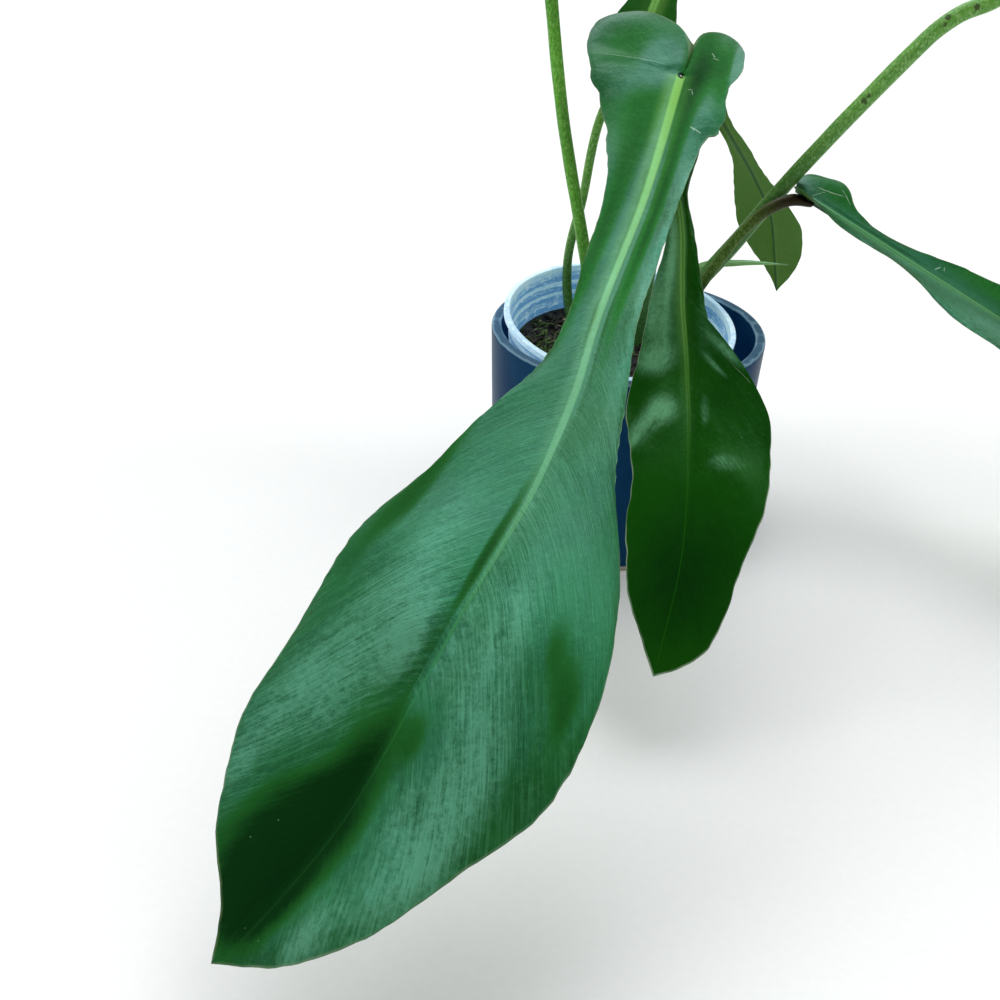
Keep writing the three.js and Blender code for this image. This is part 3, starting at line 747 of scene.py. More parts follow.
# Shapes

def spline(knots: Array, rows: Array, t: Array) -> Array:
    """Cubic through rows at knots, with slopes weighted from the steps on either side.

    Args:
        knots: Increasing parameter of each row.
        rows: Values, one row a knot.
        t: Parameters to read.

    Returns:
        One row for each value of t.
    """
    width = np.diff(knots)
    steps = np.diff(rows, axis=0) / width[:, None]
    slopes = np.empty_like(rows)
    slopes[0], slopes[-1] = steps[0], steps[-1]
    before, after = width[:-1, None], width[1:, None]
    slopes[1:-1] = (after * steps[:-1] + before * steps[1:]) / (before + after)
    i = np.clip(np.searchsorted(knots, t, side="right") - 1, 0, len(knots) - 2)
    h = width[i][:, None]
    x = (t - knots[i])[:, None] / h
    start = (1 + 2 * x) * (1 - x) ** 2 * rows[i] + x * (1 - x) ** 2 * h * slopes[i]
    return start + x * x * (3 - 2 * x) * rows[i + 1] + x * x * (x - 1) * h * slopes[i + 1]


def running_length(rows: Array) -> Array:
    """Straight-line length along rows, from the first one."""
    return np.concatenate([[0.0], np.cumsum(np.linalg.norm(np.diff(rows, axis=0), axis=1))])


def unit(vectors: Array) -> Array:
    """Vectors brought to length one."""
    return vectors / np.linalg.norm(vectors, axis=-1, keepdims=True)


def smooth(value: Array, low: float, high: float) -> Array:
    """S curve from 0 below low to 1 above high."""
    x = np.clip((value - low) / (high - low), 0.0, 1.0)
    return x * x * (3 - 2 * x)


def grid_quads(rows: int, columns: int, start: int = 0, turned: bool = False) -> Array:
    """Quads of a grid of points, row by row.

    Args:
        rows: Count of point rows.
        columns: Count of points in a row.
        start: Index of the first point.
        turned: Turn the faces over.

    Returns:
        Indices, four a quad.
    """
    index = start + np.arange(rows * columns).reshape(rows, columns)
    corners = [index[:-1, :-1], index[:-1, 1:], index[1:, 1:], index[1:, :-1]]
    quads = np.stack(corners, axis=-1).reshape(-1, 4)
    return quads[:, ::-1] if turned else quads


def ripples(points: Array, scale: float, seed: int, waves: int = 9) -> Array:
    """Smooth random relief round 0: a mean of sine waves in random directions.

    Args:
        points: Places, one row each, in millimetres.
        scale: Wavelength in millimetres.
        seed: Fixes the draw.
        waves: Count of waves.

    Returns:
        One value a point, mostly between -1 and 1.
    """
    random = np.random.default_rng(seed)
    directions = unit(random.normal(size=(waves, points.shape[1])))
    lengths = scale * random.uniform(0.7, 1.4, waves)
    phases = random.uniform(0.0, 2 * np.pi, waves)
    swing = np.sin(points @ (directions / lengths[:, None]).T * 2 * np.pi + phases)
    return swing.mean(axis=1) * 1.8


@dataclass
class Shell:
    """A mesh on its way: points in millimetres, faces, charts by corner and values by point.

    Points nearer than the merge are joined, and faces thinner than the sliver are dropped, both in metres.
    """

    points: Array
    quads: Array
    charts: dict[str, Array] = field(default_factory=dict)
    values: dict[str, Array] = field(default_factory=dict)
    merge: float = 2e-6
    sliver: float = 1e-7

    def joined(self, others: Iterable["Shell"]) -> "Shell":
        """This shell and others of the same charts and values, as one.

        Args:
            others: The shells to add.

        Returns:
            One shell of them all.
        """
        shells = [self, *others]
        counts = np.cumsum([0] + [len(shell.points) for shell in shells])
        return Shell(
            np.concatenate([shell.points for shell in shells]),
            np.concatenate([shell.quads + count for shell, count in zip(shells, counts)]),
            {key: np.concatenate([shell.charts[key] for shell in shells]) for key in self.charts},
            {key: np.concatenate([shell.values[key] for shell in shells]) for key in self.values},
        )

    def piece(self, name: str, material: bpy.types.Material, slot: str, *nodes: str) -> bpy.types.Object:
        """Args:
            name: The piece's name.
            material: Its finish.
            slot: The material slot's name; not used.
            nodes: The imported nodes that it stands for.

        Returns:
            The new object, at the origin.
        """
        mesh = bpy.data.meshes.new(name)
        count = len(self.quads)
        mesh.vertices.add(len(self.points))
        mesh.vertices.foreach_set("co", (self.points * MM).astype(np.float32).ravel())
        mesh.loops.add(count * 4)
        mesh.loops.foreach_set("vertex_index", self.quads.astype(np.int32).ravel())
        mesh.polygons.add(count)
        mesh.polygons.foreach_set("loop_start", np.arange(0, count * 4, 4, dtype=np.int32))
        mesh.update(calc_edges=True)
        for key, chart in self.charts.items():
            layer = mesh.uv_layers.new(name=key)
            layer.data.foreach_set("uv", chart[self.quads.ravel()].astype(np.float32).ravel())
        for key, value in self.values.items():
            mesh.attributes.new(key, "FLOAT", "POINT").data.foreach_set("value", value.astype(np.float32))
        self._close(mesh)
        mesh.materials.append(material)
        piece = bpy.data.objects.new(name, mesh)
        bpy.context.scene.collection.objects.link(piece)
        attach(piece, ROOT)
        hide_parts(*nodes)
        return piece

    def _close(self, mesh: bpy.types.Mesh) -> None:
        """Merge points that lie together, drop flat faces and shade the rest smooth.

        Args:
            mesh: The mesh to close.
        """
        work = bmesh.new()
        work.from_mesh(mesh)
        bmesh.ops.remove_doubles(work, verts=work.verts, dist=self.merge)
        bmesh.ops.dissolve_degenerate(work, edges=work.edges, dist=self.sliver)
        work.to_mesh(mesh)
        work.free()
        mesh.validate()
        mesh.polygons.foreach_set("use_smooth", np.ones(len(mesh.polygons), dtype=bool))
        mesh.update()


class Half(Enum):
    """The two halves of a blade, by the sign of v."""

    LEFT = -1
    RIGHT = 1


@dataclass(frozen=True)
class Wave:
    """Ripple of a blade's margin: height and length in millimetres, and phase."""

    height: float
    length: float
    phase: float


@dataclass(frozen=True)
class Crease:
    """Straight dent or ridge in a blade from start to end, both [u, v], by height and half width."""

    start: tuple[float, float]
    end: tuple[float, float]
    height: float
    width: float

    def relief(self, u: Array, v: Array) -> Array:
        """Height over the blade: a bell curve of the distance to the line, fading at its ends.

        Args:
            u: Distances along the midrib.
            v: Distances across it.

        Returns:
            The height at each place.
        """
        start, end = np.array(self.start), np.array(self.end)
        line = end - start
        offset = np.stack([u, v], axis=-1) - start
        share = np.clip(offset @ line / (line @ line), 0.0, 1.0)
        distance = np.linalg.norm(offset - share[..., None] * line, axis=-1)
        return self.height * np.exp(-(distance / self.width) ** 2)


@dataclass(frozen=True)
class Patch:
    """Place in a blade's skin with painted sheen, strength above 0, or painted shade and no gloss, below 0.

    Centre and half sizes are [u, v] in millimetres; the turn is in degrees, toward greater v.
    """

    centre: tuple[float, float]
    size: tuple[float, float]
    strength: float
    turn: float = 0.0

    def amount(self, u: Array, v: Array) -> Array:
        """Painted sheen and shade over the blade: a bell curve of the turned offset over the half sizes.

        Args:
            u: Distances along the midrib.
            v: Distances across it.

        Returns:
            The strength at each place.
        """
        cos, sin = np.cos(np.radians(self.turn)), np.sin(np.radians(self.turn))
        du, dv = u - self.centre[0], v - self.centre[1]
        along, across = (du * cos + dv * sin) / self.size[0], (dv * cos - du * sin) / self.size[1]
        return self.strength * np.exp(-along ** 2 - across ** 2)


@dataclass
class BladeForm:
    """Form of one blade, with the same meaning of its numbers as in the part's source.

    Each spine row holds x, y, z of the midrib, then in degrees the roll, the rise of the left and right
    half, and the downward bend for every 10 mm outward. The second row is the petiole's joint. The edge is
    the skin's thickness, and the margin skin what is left of it at the margin.
    """

    side: tuple[float, float, float]
    spine: Rows
    left: Rows
    right: Rows
    wave: Wave
    edge: float = 0.9
    margin_skin: float = 0.35
    rib: float = 2.6
    rib_half_width: float = 1.7
    vein_slant: float = 1.5
    pucker: float = 0.5
    pucker_lengths: tuple[float, float] = (46.0, 19.0)
    quilt: float = 0.08
    quilt_length: float = 8.0
    groove: float = 0.55
    hem: float = 0.25
    pit: float = 1.2
    fray: float = 0.3
    fray_length: float = 9.0
    ear_overlap: float = 0.5
    seed: int = 1
    creases: tuple[Crease, ...] = ()
    patches: tuple[Patch, ...] = ()

    def __post_init__(self) -> None:
        """Turn the rows into arrays and measure the midrib."""
        self.rows = np.array(self.spine, dtype=float)
        lengths = running_length(self.rows[:, :3])
        self.knots = lengths - lengths[1]
        self.length = float(self.knots[-1])

    def outline(self, half: Half) -> Array:
        """Control points of one half's margin, tip included.

        Args:
            half: Which half.

        Returns:
            Rows of [u, v].
        """
        points = np.array(self.left if half is Half.LEFT else self.right, dtype=float)
        points[0, 1] = self.ear_overlap * np.sign(-points[0, 1])
        return np.concatenate([points, [[self.length, 0.0]]])

    def margin(self, half: Half, rows: int) -> tuple[Array, Array]:
        """Evenly spaced points round one half's margin.

        Args:
            half: Which half.
            rows: Count of steps.

        Returns:
            The [u, v] points, and the way round to each in millimetres.
        """
        outline = self.outline(half)
        lengths = running_length(outline)
        way = np.linspace(0.0, lengths[-1], rows + 1)
        points = spline(lengths, outline, way)
        calm = smooth(way, 0.0, 12.0) * smooth(lengths[-1] - way, 0.0, 12.0)
        line = np.stack([way, 0.0 * way], axis=-1)
        ragged = ripples(line, self.fray_length, self.seed + 7) * self.fray * calm
        points[:, 1] += half.value * ragged
        return points, way

    def row_starts(self, rows: int) -> Array:
        """Places along the midrib where the rows start, moved back from the margin by the veins' slant.

        Args:
            rows: Count of steps round the margin.

        Returns:
            Distances along the midrib, never falling.
        """
        reached = []
        for half in Half:
            points, _ = self.margin(half, rows)
            reached.append(points[:, 0] - self.vein_slant * np.abs(points[:, 1]))
        starts = np.maximum.accumulate(np.maximum(np.mean(reached, axis=0), 0.0))
        starts[-1] = self.length
        return np.minimum(starts, self.length)

    def surface(self, u: Array, v: Array, share: Array) -> tuple[Array, Array]:
        """Middle surface of the blade.

        Across the midrib each half leaves at its rise and bends down evenly, so its run and height are
        the sine and cosine integrals of that turning angle. A sine ripple grows with the cube of the
        share of the way out to the margin.

        Args:
            u: Distance along the midrib from the joint.
            v: Distance across, below 0 on the left.
            share: Share of the way out to the margin.

        Returns:
            Points and the directions that face up there.
        """
        inside = np.clip(u, self.knots[0] + 0.6, self.knots[-1] - 0.6)
        row = spline(self.knots, self.rows, inside)
        reach_on = spline(self.knots, self.rows[:, :3], inside + 0.5)
        along = unit(reach_on - spline(self.knots, self.rows[:, :3], inside - 0.5))
        side = np.array(self.side)
        level = unit(side - (along @ side)[:, None] * along)
        raised = np.cross(along, level)
        roll = np.radians(row[:, 3])[:, None]
        across = level * np.cos(roll) + raised * np.sin(roll)
        up = np.cross(along, across)
        centre = row[:, :3] + along * (u - inside)[:, None]
        rise = np.radians(np.where(v < 0, row[:, 4], row[:, 5]))
        bend = np.radians(row[:, 6]) / 10.0
        reach = np.abs(v)
        run = (np.sin(rise) - np.sin(rise - bend * reach)) / bend
        lift = (np.cos(rise - bend * reach) - np.cos(rise)) / bend
        swing = np.sin(2 * np.pi * u / self.wave.length + self.wave.phase + np.where(v < 0, 1.9, 0.0))
        lift = lift + self.wave.height * share ** 3 * np.minimum(1.0, reach / 15.0) * swing
        points = centre + across * (np.sign(v) * run)[:, None] + up * lift[:, None]
        return points, up

    def relief(self, half: Half, u: Array, v: Array, share: Array, way: Array) -> Array:
        """Height of the fine form over the middle surface.

        The sum of broad puckers, shallow quilting along the lateral veins, and the creases, all fading
        toward the midrib. Behind the joint, the left ear's inner edge lies over the right one's.

        Args:
            half: Which half.
            u: Distance along the midrib from the joint.
            v: Distance across.
            share: Share of the way out to the margin.
            way: Way round the margin.

        Returns:
            The height at each place.
        """
        quiet = smooth(share, 0.02, 0.3) * (1 - 0.4 * smooth(share, 0.8, 1.0))
        broad, small = self.pucker_lengths
        places, lines = np.stack([u, v], axis=-1), np.stack([way, 9.0 * share], axis=-1)
        puckers = ripples(places, broad, self.seed) * self.pucker
        puckers += ripples(places, small, self.seed + 50) * self.pucker * 0.25
        quilting = ripples(lines, self.quilt_length, self.seed + 90) * self.quilt
        total = (puckers + quilting * smooth(np.abs(v), 2.0, 12.0)) * quiet
        for crease in self.creases:
            total = total + crease.relief(u, v)
        overlap = 0.5 * np.exp(-(v / 5.0) ** 2) * smooth(-u, 1.5, 7.0)
        pit = self.pit * np.exp(-(u * u + v * v) / 1.3 ** 2)
        return total - half.value * overlap - pit

    def midrib(self, half: Half, u: Array, v: Array) -> tuple[Array, Array]:
        """Groove over the midrib and ridge under it, both slimmer toward the tip.

        The groove is a bell curve round its band's edge, less half of a flatter one over its middle, and
        the right side's is the deeper. The ridge is a bell curve of the distance.

        Args:
            half: Which half.
            u: Distance along the midrib from the joint.
            v: Distance across.

        Returns:
            Depth of the groove, and the ridge's share of its full height.
        """
        away = np.hypot(np.minimum(u, 0.0), v)
        along = np.clip(u, 0.0, None) / self.length
        slim = 1 - 0.75 * along
        band = 2.2 * slim + 0.4
        brim, middle = np.exp(-((away / band - 1.0) / 0.4) ** 2), np.exp(-(away / band) ** 4)
        groove = self.groove * (brim - 0.5 * middle)
        groove = groove * slim * smooth(u, -4.0, 6.0) * (1.0 if half is Half.RIGHT else 0.25)
        return groove, np.exp(-(away / (0.75 * self.rib_half_width)) ** 2) * slim

    def half_shell(self, half: Half, rows: int, columns: int) -> Shell:
        """One half of the blade as a closed-sided strip: upper face, margin and lower face.

        The last four columns crowd at the margin, where the skin thins and its hem turns down.

        Args:
            half: Which half.
            rows: Steps round the margin.
            columns: Steps from the midrib out.

        Returns:
            The half, open along the midrib.
        """
        rim, way = self.margin(half, rows)
        starts = self.row_starts(rows)[:, None]
        crowded = [0.955, 0.975, 0.99, 1.0]
        shares = np.concatenate([0.93 * np.linspace(0.0, 1.0, columns - 3) ** 1.4, crowded])
        across = rim[:, 1:] * shares
        u, v = (starts + (rim[:, :1] - starts) * shares ** 1.3).ravel(), across.ravel()
        share = np.broadcast_to(shares, across.shape).ravel()
        ways = np.broadcast_to(way[:, None], across.shape).ravel()
        inset = (np.abs(rim[:, 1:]) * (1.0 - shares)).ravel()
        points, up = self.surface(u, v, share)
        hem = self.hem * np.exp(-((inset / 2.2) ** 2)) * smooth(share, 0.3, 0.8)
        lift = (self.relief(half, u, v, share, ways) - hem)[:, None]
        groove, ridge = self.midrib(half, u, v)
        fuller = smooth(inset, 0.0, 3.0) * smooth(1.0 - share, 0.0, 0.04)
        skin = self.margin_skin + (self.edge - self.margin_skin) * fuller
        top = points + up * (lift + (0.5 * skin - groove)[:, None])
        bottom = points + up * (lift - (0.5 * skin + (self.rib - self.edge) * ridge)[:, None])
        chart = np.stack([u, v, ways, share], axis=-1)
        # Film: painted sheen above 0 and painted shade below 0, summed from the patches
        film = sum((patch.amount(u, v) for patch in self.patches), np.zeros(len(inset)))
        return self._wrapped(half, top, bottom, chart, {"inset": inset, "film": film}, columns + 1)

    @staticmethod
    def _wrapped(half: Half, top: Array, bottom: Array, chart: Array, marks: dict[str, Array],
                 columns: int) -> Shell:
        """Join an upper and a lower grid by walls at the margin and behind the joint.

        Args:
            half: Which half.
            top: Points of the upper face, row by row.
            bottom: Points of the lower face.
            chart: Distances along and across, way round the margin and share of the way out, by point.
            marks: Mesh values of a face.
            columns: Count of points in a row.

        Returns:
            The half, with its charts in decimetres.
        """
        turned = half is Half.RIGHT
        count = len(top)
        rows = count // columns
        index = np.arange(count).reshape(rows, columns)
        rim = index[:, -1]
        back = index[0, :]
        wall = np.stack([rim[:-1], rim[:-1] + count, rim[1:] + count, rim[1:]], axis=-1)
        heel = np.stack([back[:-1], back[:-1] + count, back[1:] + count, back[1:]], axis=-1)
        sides = np.concatenate([wall, heel])
        quads = np.concatenate([
            grid_quads(rows, columns, 0, turned), grid_quads(rows, columns, count, not turned),
            sides[:, ::-1] if turned else sides,
        ])
        u, v, way, share = chart.T
        offset = 20.0 if turned else 0.0
        flat = np.stack([u, v], axis=-1) / DECIMETRE
        veins = np.stack([way / DECIMETRE + offset, share], axis=-1)
        under = np.concatenate([np.zeros(count), np.ones(count)])
        return Shell(np.concatenate([top, bottom]), quads,
                     {"flat": np.concatenate([flat, flat]), "veins": np.concatenate([veins, veins])},
                     {"underside": under, **{key: np.tile(mark, 2) for key, mark in marks.items()}})

    def shell(self, rows: int, columns: int) -> Shell:
        """Both halves, which meet along the midrib."""
        return self.half_shell(Half.LEFT, rows, columns).joined([self.half_shell(Half.RIGHT, rows, columns)])


@dataclass
class Stalk:
    """Round stalk along a path, in millimetres, with a sheath at its foot and a swelling at its joint."""

    path: Rows
    radius: float
    foot_swell: float = 0.28
    joint_swell: float = 0.16
    joint_length: float = 14.0
    wander: float = 0.12
    seed: int = 3
    sides: int = 28
    step: float = 1.6

    def shell(self) -> Shell:
        """Profile carried along the path.

        The section is a circle whose radius swells with the sixth power of the share left at the foot
        and with an S curve near the joint, and closes over each end as a quarter circle does.

        Returns:
            The closed stalk.
        """
        path = np.array(self.path, dtype=float)
        knots = running_length(path)
        total = knots[-1]
        steps = max(24, int(total / self.step))
        end = np.sin(np.linspace(0.0, np.pi / 2, 6))[:-1]
        body = np.linspace(0.0, 1.0, steps)
        cap = self.radius * 0.9
        t = np.concatenate([(1 - np.cos(np.arcsin(end))) * cap, cap + body * (total - 2 * cap),
                            total - (1 - np.cos(np.arcsin(end[::-1]))) * cap])
        close = np.concatenate([end, np.ones(steps), end[::-1]])
        centres = spline(knots, path, t)
        ahead, behind = np.minimum(t + 0.4, total), np.maximum(t - 0.4, 0)
        along = unit(spline(knots, path, ahead) - spline(knots, path, behind))
        axes = np.eye(3)
        guide = axes[np.argmin(np.abs(along @ axes).max(axis=0))]
        out = unit(np.cross(along, guide))
        over = np.cross(along, out)
        share = t / total
        near = smooth(t, total - self.joint_length, total - 0.3 * self.joint_length)
        girth = self.radius * (1 + self.foot_swell * (1 - share) ** 6 + self.joint_swell * near) * close
        angle = np.linspace(0.0, 2 * np.pi, self.sides + 1)
        grid_t, grid_a = np.meshgrid(t, angle, indexing="ij")
        cos, sin = np.cos(grid_a), np.sin(grid_a)
        tube = np.stack([grid_t.ravel(), 9 * cos.ravel(), 9 * sin.ravel()], axis=-1)
        uneven = ripples(tube, 30.0, self.seed).reshape(grid_t.shape) * self.wander
        reach = (girth[:, None] + uneven * close[:, None])[..., None]
        points = centres[:, None] + reach * (cos[..., None] * out[:, None] + sin[..., None] * over[:, None])
        chart = np.stack([grid_a / (2 * np.pi), grid_t / DECIMETRE], axis=-1).reshape(-1, 2)
        return Shell(points.reshape(-1, 3), grid_quads(len(t), self.sides + 1), {"stalk": chart},
                     {"joint": np.repeat(near, self.sides + 1)})


def turned(profile: Array, segments: int) -> Shell:
    """Body of revolution: each [radius, height] of the profile goes round at even angles.

    Args:
        profile: Rows of radius and height, upward along the outside and down the inside.
        segments: Steps round.

    Returns:
        The shell, whose seam closes when its points merge.
    """
    angle = np.linspace(0.0, 2 * np.pi, segments + 1)
    radius, height = profile[:, :1], profile[:, 1:]
    points = np.stack([radius * np.cos(angle), radius * np.sin(angle), height + 0 * angle], axis=-1)
    return Shell(points.reshape(-1, 3), grid_quads(len(profile), segments + 1, turned=True))


def filleted(corners: Sequence[tuple[float, float, float]], step: float = 3.0) -> Array:
    """Profile through corners, each rounded by a parabola that leaves its sides at the fillet's length.

    Args:
        corners: Radius, height and fillet of each corner.
        step: Longest step left along the profile.

    Returns:
        Rows of radius and height.
    """
    rows = np.array(corners, dtype=float)
    t = np.linspace(0.0, 1.0, 7)[:, None]
    points = [rows[:1, :2]]
    for before, (r, z, fillet), after in zip(rows[:-2], rows[1:-1], rows[2:]):
        corner = np.array([r, z])
        start = corner + fillet * unit(before[:2] - corner)
        end = corner + fillet * unit(after[:2] - corner)
        points.append((1 - t) ** 2 * start + 2 * t * (1 - t) * corner + t ** 2 * end)
    points.append(rows[-1:, :2])
    path = np.concatenate(points)
    lengths = running_length(path)
    counts = np.ceil(np.diff(lengths) / step).astype(int)
    stops = [np.linspace(a, b, n, endpoint=False) for a, b, n in zip(lengths, lengths[1:], counts) if n]
    way = np.concatenate([*stops, lengths[-1:]])
    return np.stack([np.interp(way, lengths, path[:, 0]), np.interp(way, lengths, path[:, 1])], axis=-1)


def lumps(count: int, seed: int, sizes: Array, places: Array, square: float) -> tuple[Array, Array]:
    """Many small rounded lumps at once, from one coarse ball.

    Each ball point is the sine and cosine of its two angles raised to the power square, so a power under
    1 nears a box, then jittered, scaled, turned at random and moved. The lumps lie nearly flat.

    Args:
        count: How many.
        seed: Fixes the draw.
        sizes: Half sizes of each lump.
        places: Centre of each lump.
        square: The power.

    Returns:
        Points and quads.
    """
    random = np.random.default_rng(seed)
    rings, spokes, tilt = 6, 9, 0.35
    down, about = np.linspace(0, np.pi, rings), np.linspace(0, 2 * np.pi, spokes)
    polar, round_ = np.meshgrid(down, about, indexing="ij")

    def bent(value: Array) -> Array:
        """Signed power."""
        return np.sign(value) * np.abs(value) ** square

    ball = np.stack([bent(np.sin(polar)) * bent(np.cos(round_)), bent(np.sin(polar)) * bent(np.sin(round_)),
                     bent(np.cos(polar))], axis=-1)
    jitter = 1 + 0.22 * random.uniform(-1, 1, (count, rings, spokes - 1, 1))
    jitter[:, [0, -1]] = jitter[:, [0, -1], :1]
    jitter = np.concatenate([jitter, jitter[:, :, :1]], axis=2)
    turns = np.linalg.qr(random.normal(size=(count, 3, 3)))[0]
    turns[:, :, 0] *= np.linalg.det(turns)[:, None]
    lean = unit(turns[:, :, 2] * tilt + np.array([0.0, 0.0, 1.0]))
    first = unit(np.cross(lean, turns[:, :, 0]))
    turns = np.stack([first, np.cross(lean, first), lean], axis=-1)
    shapes = (ball[None] * jitter).reshape(count, -1, 3) * sizes[:, None]
    points = np.einsum("nij,nkj->nki", turns, shapes) + places[:, None]
    quads = grid_quads(rings, spokes, turned=True)
    every = quads[None] + (np.arange(count) * rings * spokes)[:, None, None]
    return points.reshape(-1, 3), every.reshape(-1, 4)


# Sub-assemblies

class SubAssembly(Protocol):
    """What the main function builds."""

    def build(self) -> list[bpy.types.Object]:
        """Make the pieces and dress them."""


@dataclass
class Cachepot:
    """Cylindrical glazed pot with a rounded rim, on a narrow bare foot."""

    rim_radius: float = 72.5
    base_radius: float = 70.0
    height: float = 112.0
    wall: float = 5.5
    floor: float = 7.0
    foot: float = 3.0
    rim_fillet: float = 2.3
    finish: GlazeFinish = GlazeFinish()

    def build(self) -> list[bpy.types.Object]:
        """Turn the pot and glaze it.

        Returns:
            The piece.
        """
        base = self.base_radius
        profile = filleted([
            (0, 0, 0), (base - 0.9, 0, 1.5), (base - 0.5, self.foot, 0.2), (base, self.foot + 0.5, 0.3),
            (self.rim_radius, self.height, self.rim_fillet),
            (self.rim_radius - self.wall, self.height, self.rim_fillet),
            (base - self.wall, self.floor, 5.0), (0, self.floor, 0),
        ])
        shell = turned(profile, 144)
        return [shell.piece("glazed_cachepot", self.finish.material(), "glaze", "cachepot")]


@dataclass
class NurseryPlace:
    """Where the leaning nursery pot stands: its rim's centre, and its two leans in degrees."""

    centre: tuple[float, float, float] = (-4.6, -2.0, 117.3)
    back_up: float = 6.8
    left_up: float = 3.8

    def matrix(self) -> Array:
        """Turn about X by the first lean, after a turn about Y by the second.

        Returns:
            The turn, 3 by 3.
        """
        a, b = np.radians([self.back_up, self.left_up])
        about_x = np.array([[1, 0, 0], [0, np.cos(a), -np.sin(a)], [0, np.sin(a), np.cos(a)]])
        about_y = np.array([[np.cos(b), 0, np.sin(b)], [0, 1, 0], [-np.sin(b), 0, np.cos(b)]])
        return about_x @ about_y

    def put(self, shell: Shell) -> Shell:
        """Shell moved from the pot's own frame, where the rim is at height 0."""
        shell.points = shell.points @ self.matrix().T + np.array(self.centre)
        return shell


@dataclass
class NurseryPot:
    """Clear pot with a rolled rim and rib rings, leaning in the cachepot.

    The ribs are depths below the rim, and the collar is how far down the rolled rim reaches. The flare is
    how far it stands out over the wall.
    """

    place: NurseryPlace
    rim_radius: float = 61.5
    base_radius: float = 45.0
    height: float = 105.0
    wall: float = 1.0
    collar: float = 4.0
    flare: float = 2.2
    ribs: tuple[float, ...] = (9.0, 15.0, 21.0, 27.0)
    rib_rise: float = 0.8
    rib_spread: float = 0.9
    finish: ClearPlasticFinish = ClearPlasticFinish()

    def radius(self, below: Array) -> Array:
        """Radius of the plain wall at a depth below the rim."""
        top = self.rim_radius - self.flare
        return top - (top - self.base_radius) * below / self.height

    def build(self) -> list[bpy.types.Object]:
        """Turn the pot, with each rib a bell curve on the wall.

        Returns:
            The piece.
        """
        below = np.linspace(self.height - 2.0, self.collar, 150)
        bulge = sum(self.rib_rise * np.exp(-((below - rib) / self.rib_spread) ** 2) for rib in self.ribs)
        outer = np.stack([self.radius(below) + bulge, -below], axis=-1)
        inner = np.stack([self.radius(below) - self.wall + bulge, -below], axis=-1)[::-1]
        rim = filleted([
            (outer[-1, 0], -self.collar, 0), (self.rim_radius, 1.0 - self.collar, 0.3),
            (self.rim_radius, 0, 0.7), (self.radius(0.0) - self.wall + 0.2, 0, 0.7),
            (inner[0, 0], 0.1 - self.collar, 0),
        ], 0.5)
        base = np.array([[0.0, -self.height], [self.base_radius - 1.2, -self.height],
                         [self.base_radius - 0.3, 0.6 - self.height]])
        inside = np.array([[self.base_radius - self.wall - 0.6, 1.6 - self.height], [0.0, 1.4 - self.height]])
        shell = turned(np.concatenate([base, outer, rim[1:-1], inner, inside]), 120)
        depth = shell.points[:, 2]
        shell.values["lip"] = smooth(depth, 0.2 - self.collar, 1.2 - self.collar)
        shell.values["rib"] = sum(np.exp(-((depth + rib) / 0.8) ** 2) for rib in self.ribs)
        shell.values["depth"] = depth * MM
        leaning = self.place.put(shell)
        return [leaning.piece("clear_nursery_pot", self.finish.material(), "clear_plastic", "nursery_pot")]


